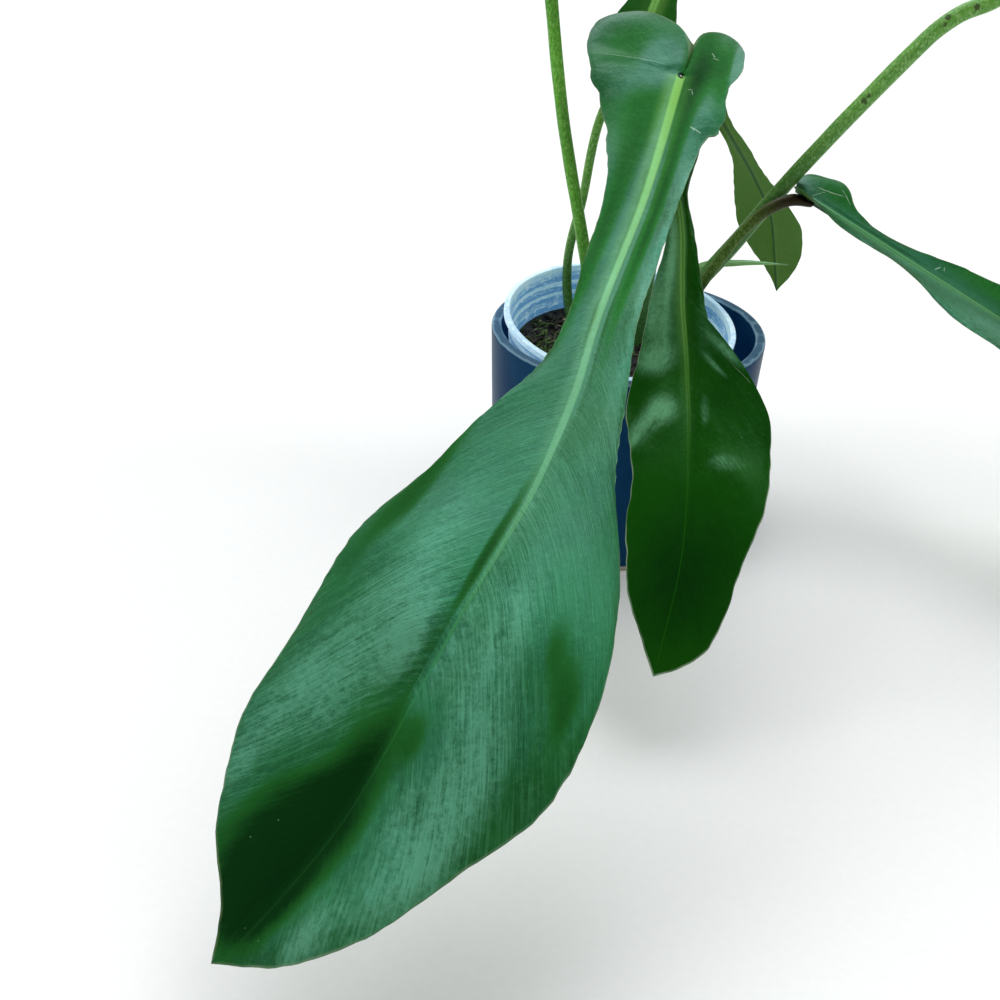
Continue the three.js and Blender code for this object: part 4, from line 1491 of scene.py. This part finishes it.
@dataclass
class Soil:
    """Potting mix with bark chips, crumbs, moss and a few pale rootlets on top.

    The surface and the bottom are depths below the nursery pot's rim. The moss is thickest at a place to
    the left and the front. The tints sort what is strewn into the finish's peat, bark, moss and fibre.
    """

    place: NurseryPlace
    radius: float = 54.3
    foot: float = 41.5
    surface: float = 24.0
    bottom: float = 103.2
    mound: float = 3.0
    mound_back: float = 18.0
    mound_reach: float = 30.0
    moss_left: float = 36.0
    moss_front: float = 10.0
    chips: int = 26
    crumbs: int = 900
    mosses: int = 60
    peat: float = 0.1
    bark: float = 0.42
    moss: float = 0.74
    fibre: float = 1.0
    finish: SoilFinish = SoilFinish()

    def height(self, x: Array, y: Array) -> Array:
        """Height of the surface: a mound in the middle, waves and fine crumbling.

        Args:
            x: Places from left to right.
            y: Places from front to back.

        Returns:
            The height at each place.
        """
        mound = self.mound * np.exp(-(x * x + (y - self.mound_back) ** 2) / self.mound_reach ** 2)
        waves = 1.1 * np.sin(x / 5.1 + 0.6) * np.cos(y / 4.3) + 0.7 * np.sin(x / 2.3 - y / 2.9)
        fine = ripples(np.stack([x, y], axis=-1).reshape(-1, 2), 7.0, 12).reshape(x.shape) * 0.7
        return mound + waves + fine - self.surface

    def mass(self) -> Shell:
        """Body of the mix: a disc that follows the surface, a slanted side and a flat bottom.

        Returns:
            The closed body.
        """
        out = np.linspace(0.0, self.radius - 0.4, 56)
        side = filleted([(self.radius, -self.surface, 0), (self.foot, -self.bottom, 0), (0, -self.bottom, 0)],
                        6.0)
        profile = np.concatenate([np.stack([out, np.full(len(out), -self.surface)], axis=-1), side])
        shell = turned(profile, 128)
        shell.quads = shell.quads[:, ::-1]
        x, y, z = shell.points.T
        top = z > -self.surface - 0.01
        inside = 1 - smooth(np.hypot(x, y), self.radius - 4, self.radius)
        shell.points[:, 2] = np.where(top, -self.surface + (self.height(x, y) + self.surface) * inside, z)
        patches = ripples(shell.points, 24.0, 5)
        shell.values["tint"] = np.where(patches > 0.55, 0.4, self.peat)
        return shell

    def scattered(self, count: int, seed: int, low: Array, high: Array, sink: float, square: float) -> Shell:
        """Lumps strewn over the surface.

        Args:
            count: How many.
            seed: Fixes the draw.
            low: Smallest half sizes.
            high: Largest half sizes.
            sink: Height of a lump's centre over the surface.
            square: Power of the lumps' form.

        Returns:
            The lumps, each of one tint.
        """
        random = np.random.default_rng(seed)
        sizes = random.uniform(low, high, (count, 3))
        away = (self.radius - 1.5 - sizes.max(axis=1)) * np.sqrt(random.uniform(0, 1, count))
        angle = random.uniform(0, 2 * np.pi, count)
        x, y = away * np.cos(angle), away * np.sin(angle)
        places = np.stack([x, y, self.height(x, y) + sink], axis=-1)
        points, quads = lumps(count, seed + 1, sizes, places, square)
        mossy = np.exp(-((x + self.moss_left) ** 2 + (y + self.moss_front) ** 2) / 260)
        draw = random.uniform(0, 1, count)
        tint = np.where(draw < 0.55, self.peat, self.bark)
        tint = np.where(random.uniform(0, 1, count) < mossy * 1.1 + 0.08, self.moss, tint)
        tint = np.where(random.uniform(0, 1, count) < 0.05, self.fibre, tint)
        return Shell(points, quads, {}, {"tint": np.repeat(tint, len(points) // count)})

    def strand(self, start: tuple[float, float], heading: float, length: float, radius: float, tint: float,
               random: np.random.Generator) -> Shell:
        """One thin strand whose heading wanders and which arches over the surface.

        Args:
            start: Its foot, x and y.
            heading: First direction, in radians.
            length: Its length.
            radius: Its radius.
            tint: The mix's value for its colour.
            random: Source of the wandering.

        Returns:
            The strand.
        """
        steps = 9
        way = np.linspace(0, length, steps)
        turn = heading + np.cumsum(random.normal(0, 0.45, steps))
        x = start[0] + np.cumsum(np.cos(turn)) * length / steps
        y = start[1] + np.cumsum(np.sin(turn)) * length / steps
        spare = np.maximum(1.0, np.hypot(x, y) / (self.radius - 2.0))
        x, y = x / spare, y / spare
        rise = 0.3 + 2.2 * np.sin(np.pi * way / length) * random.uniform(0.3, 1)
        path = np.stack([x, y, self.height(x, y) + rise], axis=-1)
        stalk = Stalk(path.tolist(), radius, 0.0, 0.0, wander=0.05, sides=6).shell()
        return Shell(stalk.points, stalk.quads, {}, {"tint": np.full(len(stalk.points), tint)})

    def strands(self) -> list[Shell]:
        """Pale curling rootlets, and moss strands crowded on the left of the mix.

        Returns:
            The strands, rootlets first.
        """
        random = np.random.default_rng(8)
        rootlets = (
            ((30, -14), 1.4, 26), ((24, -22), 2.2, 22), ((34, -4), 2.6, 18), ((20, -30), 0.7, 20),
            ((-30, -24), 0.5, 22), ((-20, 8), 2.9, 24), ((4, -40), 0.2, 18), ((40, 10), 1.9, 16),
        )
        made = [self.strand(start, heading, length, random.uniform(0.35, 0.6), self.fibre, random)
                for start, heading, length in rootlets]
        for _ in range(self.mosses):
            start = (random.normal(-37, 8), random.normal(-4, 13))
            made.append(self.strand(start, random.uniform(0, 2 * np.pi), random.uniform(6, 13),
                                    random.uniform(0.3, 0.6), self.moss, random))
        return made

    def build(self) -> list[bpy.types.Object]:
        """Heap the mix and dress it.

        Returns:
            The piece.
        """
        small_chip, large_chip = np.array([3.0, 2.0, 1.1]), np.array([6.0, 3.6, 2.0])
        small_crumb, large_crumb = np.array([0.6, 0.5, 0.4]), np.array([2.2, 1.6, 1.1])
        chips = self.scattered(self.chips, 21, small_chip, large_chip, 0.6, 0.55)
        crumbs = self.scattered(self.crumbs, 33, small_crumb, large_crumb, 0.2, 0.8)
        shell = self.place.put(self.mass().joined([chips, crumbs, *self.strands()]))
        return [shell.piece("potting_mix", self.finish.material(), "potting_mix", "soil")]


@dataclass
class Stem:
    """Short creeping stem, half buried."""

    stalk: Stalk
    finish: StemFinish = StemFinish()

    def build(self) -> list[bpy.types.Object]:
        """Make the stem and dress it.

        Returns:
            The piece.
        """
        return [self.stalk.shell().piece("creeping_stem", self.finish.material(), "stem_bark", "stem")]


@dataclass
class Leaf:
    """One leaf, told apart by a letter: a blade on its petiole.

    The seat is where the petiole's end is pressed: its reach round the joint, its depth under the
    blade's plane, and how fast that lessens with the distance from the midrib.
    """

    letter: str
    blade: BladeForm
    petiole: Stalk
    skin: BladeFinish
    stalk: PetioleFinish
    rows: int = 190
    columns: int = 22
    seat_reach: float = 25.0
    seat_depth: float = 0.5
    seat_slope: float = 0.14

    def seated(self, shell: Shell) -> Shell:
        """Petiole whose end is pressed under the blade.

        Near the joint, a point's height over the blade's plane is held below the underside, which rises
        evenly to both sides of the midrib.

        Args:
            shell: The petiole as it grew.

        Returns:
            The same shell, pressed.
        """
        joint = np.array([0.0])
        centre, up = self.blade.surface(joint, joint, joint)
        ahead, _ = self.blade.surface(joint + 1.0, joint, joint)
        up = up[0]
        along = unit(ahead[0] - centre[0])
        across = np.cross(up, along)
        offset = shell.points - centre[0]
        height, u, v = offset @ up, offset @ along, offset @ across
        press = np.minimum(0.0, self.seat_slope * np.abs(v) - self.seat_depth - height)
        near = np.hypot(u, v) < self.seat_reach
        shell.points = shell.points + up * np.where(near, press, 0.0)[:, None]
        return shell

    def build(self) -> list[bpy.types.Object]:
        """Make the blade and its petiole, each dressed.

        Returns:
            The two pieces.
        """
        name = f"leaf_{self.letter}"
        blade = self.blade.shell(self.rows, self.columns)
        petiole = self.seated(self.petiole.shell())
        return [
            blade.piece(f"blade_{self.letter}", dressed(self.skin), "leaf", f"{name}_blade"),
            petiole.piece(f"petiole_{self.letter}", dressed(self.stalk), "petiole", f"{name}_petiole"),
        ]


@dataclass
class Cataphyll:
    """Pale pointed sheath that wrapped a young leaf."""

    form: BladeForm
    finish: BladeFinish

    def build(self) -> list[bpy.types.Object]:
        """Make the sheath and dress it.

        Returns:
            The piece.
        """
        return [self.form.shell(90, 8).piece("pale_sheath", dressed(self.finish), "sheath", "cataphyll")]


@cache
def dressed(finish: BladeFinish | PetioleFinish) -> bpy.types.Material:
    """Material of a finish, made once."""
    return finish.material()


@dataclass(frozen=True)
class Daylight:
    """Soft disc of light from far off, so that it falls alike on the whole floor.

    Azimuth 0 is behind the plant and negative to its left; angles are in degrees.
    """

    name: str
    azimuth: float
    elevation: float
    angle: float
    power: float
    colour: Colour

    def build(self) -> None:
        """Hang the light."""
        lamp = bpy.data.lights.new(self.name, "SUN")
        lamp.energy = self.power
        lamp.angle = np.radians(self.angle)
        lamp.color = self.colour
        azimuth, elevation = np.radians([self.azimuth, self.elevation])
        level = np.cos(elevation)
        source = Vector((np.sin(azimuth) * level, np.cos(azimuth) * level, np.sin(elevation)))
        holder = bpy.data.objects.new(self.name, lamp)
        holder.matrix_world = (-source).to_track_quat("-Z", "Y").to_matrix().to_4x4()
        bpy.context.scene.collection.objects.link(holder)


@dataclass
class Studio:
    """Pale floor, broad daylight, dim surroundings and the camera.

    The surroundings go from the horizon's light to the surround's while the height of the view's
    direction goes through the fade. The camera's lens and sensor are in millimetres.
    """

    reach: float = 40.0
    horizon: float = 0.62
    surround: float = 0.10
    fade: tuple[float, float] = (0.02, 0.45)
    eye: tuple[float, float, float] = (-0.0655, -0.4994, 0.3220)
    pitch: float = 32.95
    roll: float = 1.49
    lens: float = 36.0
    sensor: float = 36.0
    lights: tuple[Daylight, ...] = (
        Daylight("high_daylight", 0.0, 62.0, 58.0, 2.7, (0.98, 1.0, 1.0)),
        Daylight("left_daylight", -104.0, 42.0, 32.0, 0.7, (0.98, 1.0, 1.0)),
        Daylight("right_daylight", 112.0, 58.0, 32.0, 0.5, (0.98, 1.0, 1.0)),
    )

    def build(self) -> None:
        """Lay the floor and set lights, surroundings and camera."""
        self._floor()
        self._surroundings()
        for light in self.lights:
            light.build()
        self._camera()
        bpy.context.scene.view_settings.view_transform = "Standard"

    def _floor(self) -> None:
        """Flat floor at height 0."""
        r = self.reach
        mesh = bpy.data.meshes.new("floor")
        mesh.from_pydata([(-r, -r, 0), (r, -r, 0), (r, r, 0), (-r, r, 0)], [], [(0, 1, 2, 3)])
        mesh.materials.append(FloorFinish().material())
        floor = bpy.data.objects.new("floor", mesh)
        bpy.context.scene.collection.objects.link(floor)

    def _surroundings(self) -> None:
        """Pale light low down all round that fades to dim overhead."""
        world = bpy.data.worlds.new("surroundings")
        world.use_nodes = True
        sheet = Sheet(world.node_tree)
        shade = world.node_tree.nodes["Background"]
        height = sheet.axis(sheet.node("TexCoord", "Generated"), 2)
        sheet.feed(shade.inputs["Color"], (1.0, 1.0, 1.0))
        sheet.feed(shade.inputs["Strength"], sheet.step(height, *self.fade, self.horizon, self.surround))
        bpy.context.scene.world = world

    def _camera(self) -> None:
        """Camera at the photograph's place, looking down by its pitch and turned by its roll."""
        pitch, roll = np.radians([self.pitch, self.roll])
        level = np.array([1.0, 0.0, 0.0])
        raised = np.array([0.0, np.sin(pitch), np.cos(pitch)])
        right = np.cos(roll) * level + np.sin(roll) * raised
        top = np.cos(roll) * raised - np.sin(roll) * level
        view = np.array([0.0, np.cos(pitch), -np.sin(pitch)])
        matrix = np.eye(4)
        matrix[:3, 0], matrix[:3, 1], matrix[:3, 2], matrix[:3, 3] = right, top, -view, self.eye
        data = bpy.data.cameras.new("camera")
        data.lens, data.sensor_width = self.lens, self.sensor
        camera = bpy.data.objects.new("camera", data)
        camera.matrix_world = Matrix(matrix.tolist())
        bpy.context.scene.collection.objects.link(camera)
        bpy.context.scene.camera = camera


# The plant's own sizes

LARGE_LEFT: Rows = [
    [-20, -0.7], [-33, -11], [-40, -30], [-33, -50], [-21, -51], [1, -44], [8, -41.8], [15, -36.4],
    [22, -34.4], [29, -31.5], [38, -27.2], [49, -25], [60, -21.6], [112, -16], [155, -13], [190, -20],
    [235, -34], [265, -43], [320, -45], [364, -41], [390, -28], [409, -6],
]
LARGE_RIGHT: Rows = [
    [-19, 0.7], [-29, 4], [-30, 11], [-19, 24.4], [-9, 25.9], [-2, 25.6], [7, 22.6], [15, 22.3],
    [28, 23.8], [32, 22.5], [35.3, 22.8], [36.8, 18.6], [40, 17.2], [51, 16], [92, 15], [150, 16],
    [193, 19], [230, 28], [272, 46], [305, 55], [333, 53], [355, 41], [385, 27], [407, 13],
]


def stretched(outline: Rows, along: float, across: float) -> Rows:
    """Outline stretched along and across the midrib, and swapped to the other half below 0."""
    return [[u * along, v * across] for u, v in outline]


SATIN = BladeFinish("leaf_satin")
# The drift lays the pale midrib line on the midrib's flank far out, as a painted highlight; the long pale
# line across the left ear is a painted highlight along its fold
SCRATCHED = replace(SATIN, name="leaf_scratched", rib_drift=(-1.2, 2.4), nicks=(
    Nick(-13, 12.5, 2.0, 0.3, 35, 0.7), Nick(-10.5, 14, 1.8, 0.25, 70, 0.6), Nick(9, 6, 1.5, 0.25, 80, 0.5),
    Nick(11, 7.5, 1.6, 0.3, 20, 0.6), Nick(34, 14, 3.2, 0.35, 60, 0.8), Nick(33, 12, 2.0, 0.3, 50, 0.6),
    Nick(-7, -24, 20, 0.5, 82, 0.22),
))
# Its underside is brightened to stand in for daylight shining through the leaf
OLIVE = replace(SATIN, name="leaf_olive", rib_width=1.0, under=(0.100, 0.205, 0.009),
                under_rib=(0.040, 0.088, 0.006))
# The pale lines near the joint are painted highlights along the curled ear's folds; the two further out are
# pale marks
PLAIN = replace(SATIN, name="leaf_plain", rib=(0.110, 0.340, 0.120), rib_width=2.0, rib_fade=200.0, nicks=(
    Nick(6, 11, 8.0, 0.4, 12, 0.7), Nick(14, 13, 6.0, 0.35, -35, 0.6), Nick(2, 6, 5.0, 0.3, 60, 0.5),
    Nick(72, 6, 2.2, 0.35, 60, 0.8), Nick(75, 8, 1.6, 0.35, 105, 0.8),
))
GLOSSY = BladeFinish(
    "leaf_glossy", deep=(0.006, 0.062, 0.003), fresh=(0.013, 0.110, 0.005), sheen=(0.140, 0.390, 0.200),
    lush=(0.008, 0.080, 0.004), shade=(0.003, 0.033, 0.004), rib=(0.130, 0.330, 0.060),
    rib_far=(0.060, 0.190, 0.030), rib_width=1.6, rib_fade=190.0, margin=(0.34, 0.44, 0.30),
    roughness=0.24, gloss=0.2, tint=(0.35, 1.0, 0.45), streak=0.4, leather=1.9,
)
YOUNG = replace(SATIN, name="leaf_young", deep=(0.018, 0.120, 0.008), fresh=(0.034, 0.200, 0.012),
                tint=(0.3, 1.0, 0.5))
SHEATH = BladeFinish(
    "sheath_pale", deep=(0.170, 0.350, 0.090), fresh=(0.270, 0.480, 0.170), rib=(0.300, 0.520, 0.190),
    under=(0.300, 0.520, 0.150), under_rib=(0.240, 0.440, 0.120), roughness=0.42, streak=0.5,
)
STALK = PetioleFinish("petiole_green")
FRESH_STALK = replace(STALK, name="petiole_fresh", green=(0.115, 0.370, 0.025),
                      fleck=(0.300, 0.580, 0.140), tint=(0.4, 1.0, 0.4))
SCARRED_STALK = replace(STALK, name="petiole_scarred", dusk=(0.9, 1.7), scars=(
    (106.4, 16.6, 224.1, 1.7), (108.4, 16.5, 226.8, 1.2), (137.4, 17.3, 261.6, 1.7),
    (136.4, 16.4, 258.6, 1.2), (149.3, 16.8, 266.4, 2.0),
))
BROWN_STALK = PetioleFinish(
    "petiole_brown", green=(0.085, 0.170, 0.022), shade=(0.040, 0.095, 0.014), fleck=(0.220, 0.330, 0.100),
    joint=(0.024, 0.014, 0.006), tint=(0.30, 0.34, 0.22), roughness=0.46,
)

LEAVES = (
    Leaf("a", BladeForm(
        side=(1, -0.3, 0),
        spine=[
            [32, 52, 276, 0, 8, 8, 4], [14, -5, 237, 0, 8, 8, 4], [-4, -62, 200, 0, 16, 16, 4],
            [-29, -135, 167, 0, 18, 18, 3], [-39, -172, 153, 0, 16, 16, 3], [-52, -203, 143, 2, 12, 12, 3],
            [-85, -268, 116, 4, 12, 12, 4], [-112, -305, 82, 4, 12, 12, 4], [-146, -330, 49, 0, 12, 12, 4],
        ],
        left=LARGE_LEFT, right=LARGE_RIGHT, wave=Wave(1.6, 74, 0.8), seed=4,
        creases=(
            Crease((-5, -8), (-9.3, -39), 0.5, 3.0), Crease((-2, -8), (-17, -44), -0.5, 4.5),
            Crease((310, 7), (392, 8), -1.6, 11.0),
            Crease((262, -30), (300, -10), 0.8, 9.0), Crease((215, -22), (250, -8), -0.7, 8.0),
            Crease((300, 40), (352, 22), -0.8, 9.0), Crease((345, 18), (352, 40), 0.8, 7.0),
        ),
        # Patches paint sheen, above 0, and shade, below 0
        patches=(
            Patch((343, -2), (16, 9), -1.05), Patch((364, -5), (14, 15), -1.1),
            Patch((388, -9), (22, 16), -1.5), Patch((404, -4), (12, 9), -0.6),
            Patch((275, -1), (42, 2.4), -0.95), Patch((390, 2), (18, 5), -0.6),
            Patch((238, -34), (42, 5), -0.6, -6), Patch((280, -40), (32, 5), -0.35),
            Patch((296, 37), (13, 4.5), -0.7, 24), Patch((306, 46), (12, 3.4), -0.7, 10),
            Patch((326, 46), (20, 5), -0.2), Patch((332, 9), (12, 6), -0.75, 20),
            Patch((262, -33), (20, 4), -0.3), Patch((92, 6), (80, 3.4), -0.85),
            Patch((-2, -6), (44, 48), -0.64), Patch((-24, -34), (11, 14), -0.15),
            Patch((-4, 14), (20, 9), -0.4), Patch((118, -13), (56, 4.6), -0.78),
            Patch((52, -15), (42, 11), -0.33), Patch((206, 34), (60, 9), -0.5),
            Patch((264, -17), (36, 9), 0.5), Patch((300, -18), (28, 13), 0.65),
            Patch((336, -32), (28, 10), 0.95, -8), Patch((308, -9), (18, 7), 0.9),
            Patch((338, -19), (18, 7), 0.65), Patch((372, -34), (18, 6), 0.7),
            Patch((212, 24), (26, 7), 0.5), Patch((248, 4.5), (30, 2.6), 0.6),
            Patch((305, 5), (22, 4), 0.6), Patch((300, 18), (32, 10), 0.9),
            Patch((336, 30), (26, 9), 0.9), Patch((363, 29), (22, 10), 0.85, -8),
            Patch((392, 16), (13, 6), 1.2), Patch((354, 16), (16, 5), 0.7),
            Patch((110, -4), (115, 2.0), 0.45), Patch((110, 14.5), (90, 3.4), 1.0),
            Patch((-6, -12), (13, 8), 1.15), Patch((-8, 24), (14, 2.6), 1.1),
            Patch((8, -30), (10, 14), 0.5),
        ),
    ), Stalk([[-5, 17, 94], [-5, 26, 150], [3, 22, 205], [10, 6, 233], [15, -8, 237.5]], 4.1),
        SCRATCHED, STALK),
    Leaf("b", BladeForm(
        side=(1, 0, 0),
        spine=[
            [3, 12, 227, 0, 6, 6, 4], [9, -22, 203, 0, 10, 10, 4], [13, -50, 184, 0, 16, 16, 4],
            [13, -80, 155, 0, 16, 16, 4], [15, -100, 132, 0, 12, 12, 4], [15, -122, 111, 0, 10, 10, 5],
            [11, -160, 75, 0, 10, 10, 5], [0, -190, 36, 0, 12, 12, 4],
        ],
        left=[
            [-14, -0.6], [-24, -6], [-27, -16], [-18, -24], [-4, -22], [8, -16], [20, -9], [45, -8],
            [70, -14], [100, -22], [125, -27], [140, -26], [160, -24], [175, -25], [192, -23], [208, -20],
            [226, -9],
        ],
        right=[
            [-14, 0.6], [-22, 4], [-24, 11], [-17, 16], [-4, 15], [8, 10], [17, 6], [45, 6], [68, 9],
            [94, 14], [105, 20], [115, 29], [126, 35], [140, 36], [161, 34], [190, 25], [211, 22],
            [224, 18], [234, 9],
        ],
        wave=Wave(1.4, 58, 2.2), seed=9,
        creases=(
            Crease((108, -6), (122, -25), -1.6, 6.5), Crease((128, -10), (142, -22), 1.2, 8.0),
            Crease((92, 10), (104, 24), 0.7, 6.0), Crease((143, 8), (152, 22), 0.8, 6.0),
            Crease((118, 5), (132, 9), 0.4, 3.5), Crease((106, 2), (112, 14), -0.3, 2.5),
        ),
        # Patches paint sheen, above 0, and shade, below 0
        patches=(
            Patch((66, -13), (20, 7), 1.0, -8), Patch((88, -12), (14, 10), 0.55),
            Patch((101, -14), (6, 9), 1.2, 12), Patch((60, -6), (30, 1.6), 0.8, -6),
            Patch((124, -11), (7, 7), 1.25, 14), Patch((135, -21), (15, 5), 1.35, -35),
            Patch((131, -16), (11, 1.4), -0.45, -32), Patch((98, 17), (9, 2.2), 1.0, 38),
            Patch((104, 12), (7, 1.2), 0.9, 40), Patch((148, 17), (5, 12), 0.9, 10),
            Patch((145, 12), (2.6, 6), 0.6, 20), Patch((88, 9), (16, 5), 0.35),
            Patch((125, 7), (8, 2.2), 0.9), Patch((196, 2), (52, 42), -1.0),
            Patch((44, -4), (26, 2.6), 0.7),
        ),
    ), Stalk([[6, 12, 94], [9, 5, 140], [10, -8, 184], [9, -21, 201], [10, -26, 204]], 3.8),
        GLOSSY, STALK),
    Leaf("c", BladeForm(
        side=(0, 1, 0),
        spine=[
            [68, 22, 186, 22, 48, 14, 6], [87, 10, 178, 24, 40, 14, 6], [104, 0, 170, 26, 24, 16, 4],
            [133, -15, 156, 26, 18, 18, 4], [178, -35, 134, 22, 16, 16, 4], [225, -60, 112, 14, 12, 12, 4],
            [270, -84, 82, 6, 12, 12, 4], [305, -98, 48, 0, 12, 12, 4],
        ],
        left=[
            [-6, -0.6], [-9, -4], [-8, -8], [-2, -11], [9, -12], [18, -11], [26, -10], [42, -11],
            [58, -13], [75, -20], [100, -30], [130, -38], [160, -40], [200, -34], [240, -20], [268, -7],
        ],
        right=[
            [-8, 0.6], [-11, 8], [-9, 18], [-2, 20], [8, 21], [13, 18], [19, 12], [30, 8], [50, 8],
            [70, 11], [88, 17], [105, 23], [130, 33], [160, 38], [200, 33], [240, 19], [268, 6],
        ],
        wave=Wave(1.5, 62, 0.3), seed=14,
        # Patches paint sheen, above 0, and shade, below 0
        patches=(
            Patch((150, 22), (110, 16), -0.85), Patch((160, -20), (110, 14), 1.5),
            Patch((10, 12), (20, 10), -0.5), Patch((70, -3), (44, 6), 0.9),
        ),
    ), Stalk([[22, 12, 93], [39, 10, 132], [49, 10, 150], [58, 10, 163], [67, 10, 172], [78, 11, 177],
              [90, 9, 177]], 2.6, joint_length=45.0), PLAIN, BROWN_STALK),
    Leaf("d", BladeForm(
        side=(-1, 0, -0.4),
        spine=[
            [24, 52, 236, 0, 8, 8, 5], [37, 60, 219, 0, 8, 8, 5], [51, 66, 200, 0, 12, 12, 4],
            [77, 85, 166, 0, 14, 14, 4], [90, 92, 145, 0, 12, 12, 4], [98, 97, 119, 0, 12, 12, 4],
            [104, 100, 95, 0, 12, 12, 4],
        ],
        left=[
            [-7, -0.6], [-12, -3], [-13, -7], [-8, -9], [0, -8], [10, -6], [22, -4], [45, -5], [70, -6],
            [82, -8], [98, -12], [114, -18], [124, -18], [132, -16], [141, -10],
        ],
        right=[
            [-7, 0.6], [-13, 4], [-15, 11], [-8, 14], [4, 12], [14, 6], [26, 3.5], [37, 4], [49, 6],
            [64, 11], [80, 16], [95, 19], [108, 17], [120, 12], [132, 6], [142, 2],
        ],
        wave=Wave(0.8, 44, 1.1), pucker=0.3, seed=19,
    ), Stalk([[0, 25, 94], [9, 41, 140], [22, 54, 185], [33, 60, 211], [39, 61, 219]], 2.6), OLIVE, STALK),
    Leaf("e", BladeForm(
        side=(-1, 0, 0),
        spine=[
            [-3, 44, 224, 0, 8, 8, 5], [0, 58, 241, 0, 8, 8, 5], [8, 70, 262, 0, 14, 14, 4],
            [19, 88, 300, 0, 14, 14, 4], [30, 108, 345, 0, 12, 12, 5], [40, 130, 385, 0, 12, 12, 5],
            [52, 158, 415, 0, 12, 12, 5],
        ],
        left=[
            [-10, -0.6], [-18, -5], [-19, -14], [-10, -20], [5, -19], [17, -14], [26, -11], [40, -10],
            [60, -11], [90, -18], [120, -25], [150, -23], [180, -14], [200, -5],
        ],
        right=[
            [-10, 0.6], [-17, 5], [-18, 12], [-10, 17], [4, 17], [12, 15], [22, 12], [34, 9], [60, 11],
            [90, 18], [120, 25], [150, 23], [180, 14], [200, 5],
        ],
        wave=Wave(1.2, 50, 0.2), seed=24,
    ), Stalk([[-26, 31, 93], [-30, 40, 110], [-31, 45, 130], [-25, 45, 165], [-18, 46, 208], [-6, 53, 232],
              [2, 58, 241]], 2.4), YOUNG, STALK),
    Leaf("f", BladeForm(
        side=(0, 1, 0),
        spine=[
            [165, 32, 322, 0, 8, 8, 5], [205, 20, 312, 0, 8, 8, 5], [255, 6, 312, 4, 16, 16, 4],
            [310, -10, 296, 6, 18, 18, 3], [355, -24, 272, 6, 14, 14, 3], [400, -38, 240, 4, 12, 12, 4],
            [450, -52, 196, 2, 12, 12, 4], [485, -62, 150, 0, 12, 12, 4],
        ],
        left=stretched(LARGE_RIGHT, 0.81, -0.9), right=stretched(LARGE_LEFT, 0.81, -0.9),
        wave=Wave(1.8, 70, 1.4), seed=29,
    ), Stalk([[12, 19, 94], [28, 20, 116], [44, 20, 136], [82, 20, 190], [117, 20, 235], [126, 20, 246],
              [135, 20, 256], [145, 20, 263.5], [157, 20, 268.5], [170, 20, 278], [184, 20, 293],
              [207, 19, 312]], 3.9), SATIN, SCARRED_STALK),
    Leaf("g", BladeForm(
        side=(0, -1, 0),
        spine=[
            [-22, 12, 324, 0, 8, 8, 5], [-55, 24, 332, 0, 8, 8, 5], [-98, 40, 348, 0, 16, 16, 4],
            [-150, 56, 356, 0, 16, 16, 3], [-200, 70, 350, 0, 12, 12, 4], [-250, 84, 330, 0, 12, 12, 4],
            [-300, 98, 298, 0, 12, 12, 4],
        ],
        left=stretched(LARGE_LEFT, 0.66, 0.8), right=stretched(LARGE_RIGHT, 0.66, 0.85),
        wave=Wave(1.5, 60, 0.9), seed=34,
    ), Stalk([[-14, 23, 94], [-19, 21, 122], [-25, 20, 149], [-39, 20, 211], [-47.5, 20, 264], [-53, 22, 305],
              [-57, 25, 333]], 3.1), SATIN, FRESH_STALK),
)

SHEATH_FORM = BladeForm(
    side=(0, 1, 0),
    spine=[
        [14, 29, 84, 0, 62, 62, 0.1], [16, 30, 92, 0, 62, 62, 0.1], [30, 33, 119, 0, 56, 56, 0.1],
        [43, 35, 131, 0, 50, 50, 0.1], [62, 35.5, 134, 0, 46, 46, 0.1], [90, 35, 135, 0, 40, 40, 0.1],
    ],
    left=[[-4, -2.4], [4, -3.6], [24, -4.2], [50, -3.8], [72, -2.4], [88, -0.9]],
    right=[[-4, 2.4], [4, 3.6], [24, 4.2], [50, 3.8], [72, 2.4], [88, 0.9]],
    wave=Wave(0.0, 40, 0.0), edge=1.3, rib=2.0, pucker=0.05, groove=0.0, fray=0.05, pit=0.0,
)
STEM_STALK = Stalk([[-32, 36, 91], [-10, 24, 96], [12, 18, 97], [31, 7, 90]], 8.2, foot_swell=-0.25,
                   joint_swell=-0.2, wander=0.7, sides=40)


def main() -> None:
    """Build the plant from the pots up, then the studio."""
    logging.basicConfig(level=logging.INFO, format="%(message)s")
    place = NurseryPlace()
    plant: tuple[SubAssembly, ...] = (
        Cachepot(), NurseryPot(place), Soil(place), Stem(STEM_STALK), *LEAVES,
        Cataphyll(SHEATH_FORM, SHEATH),
    )
    for part in plant:
        for piece in part.build():
            log.info("%s: %d faces", piece.name, len(piece.data.polygons))
    Studio().build()


if __name__ == "__main__":
    main()
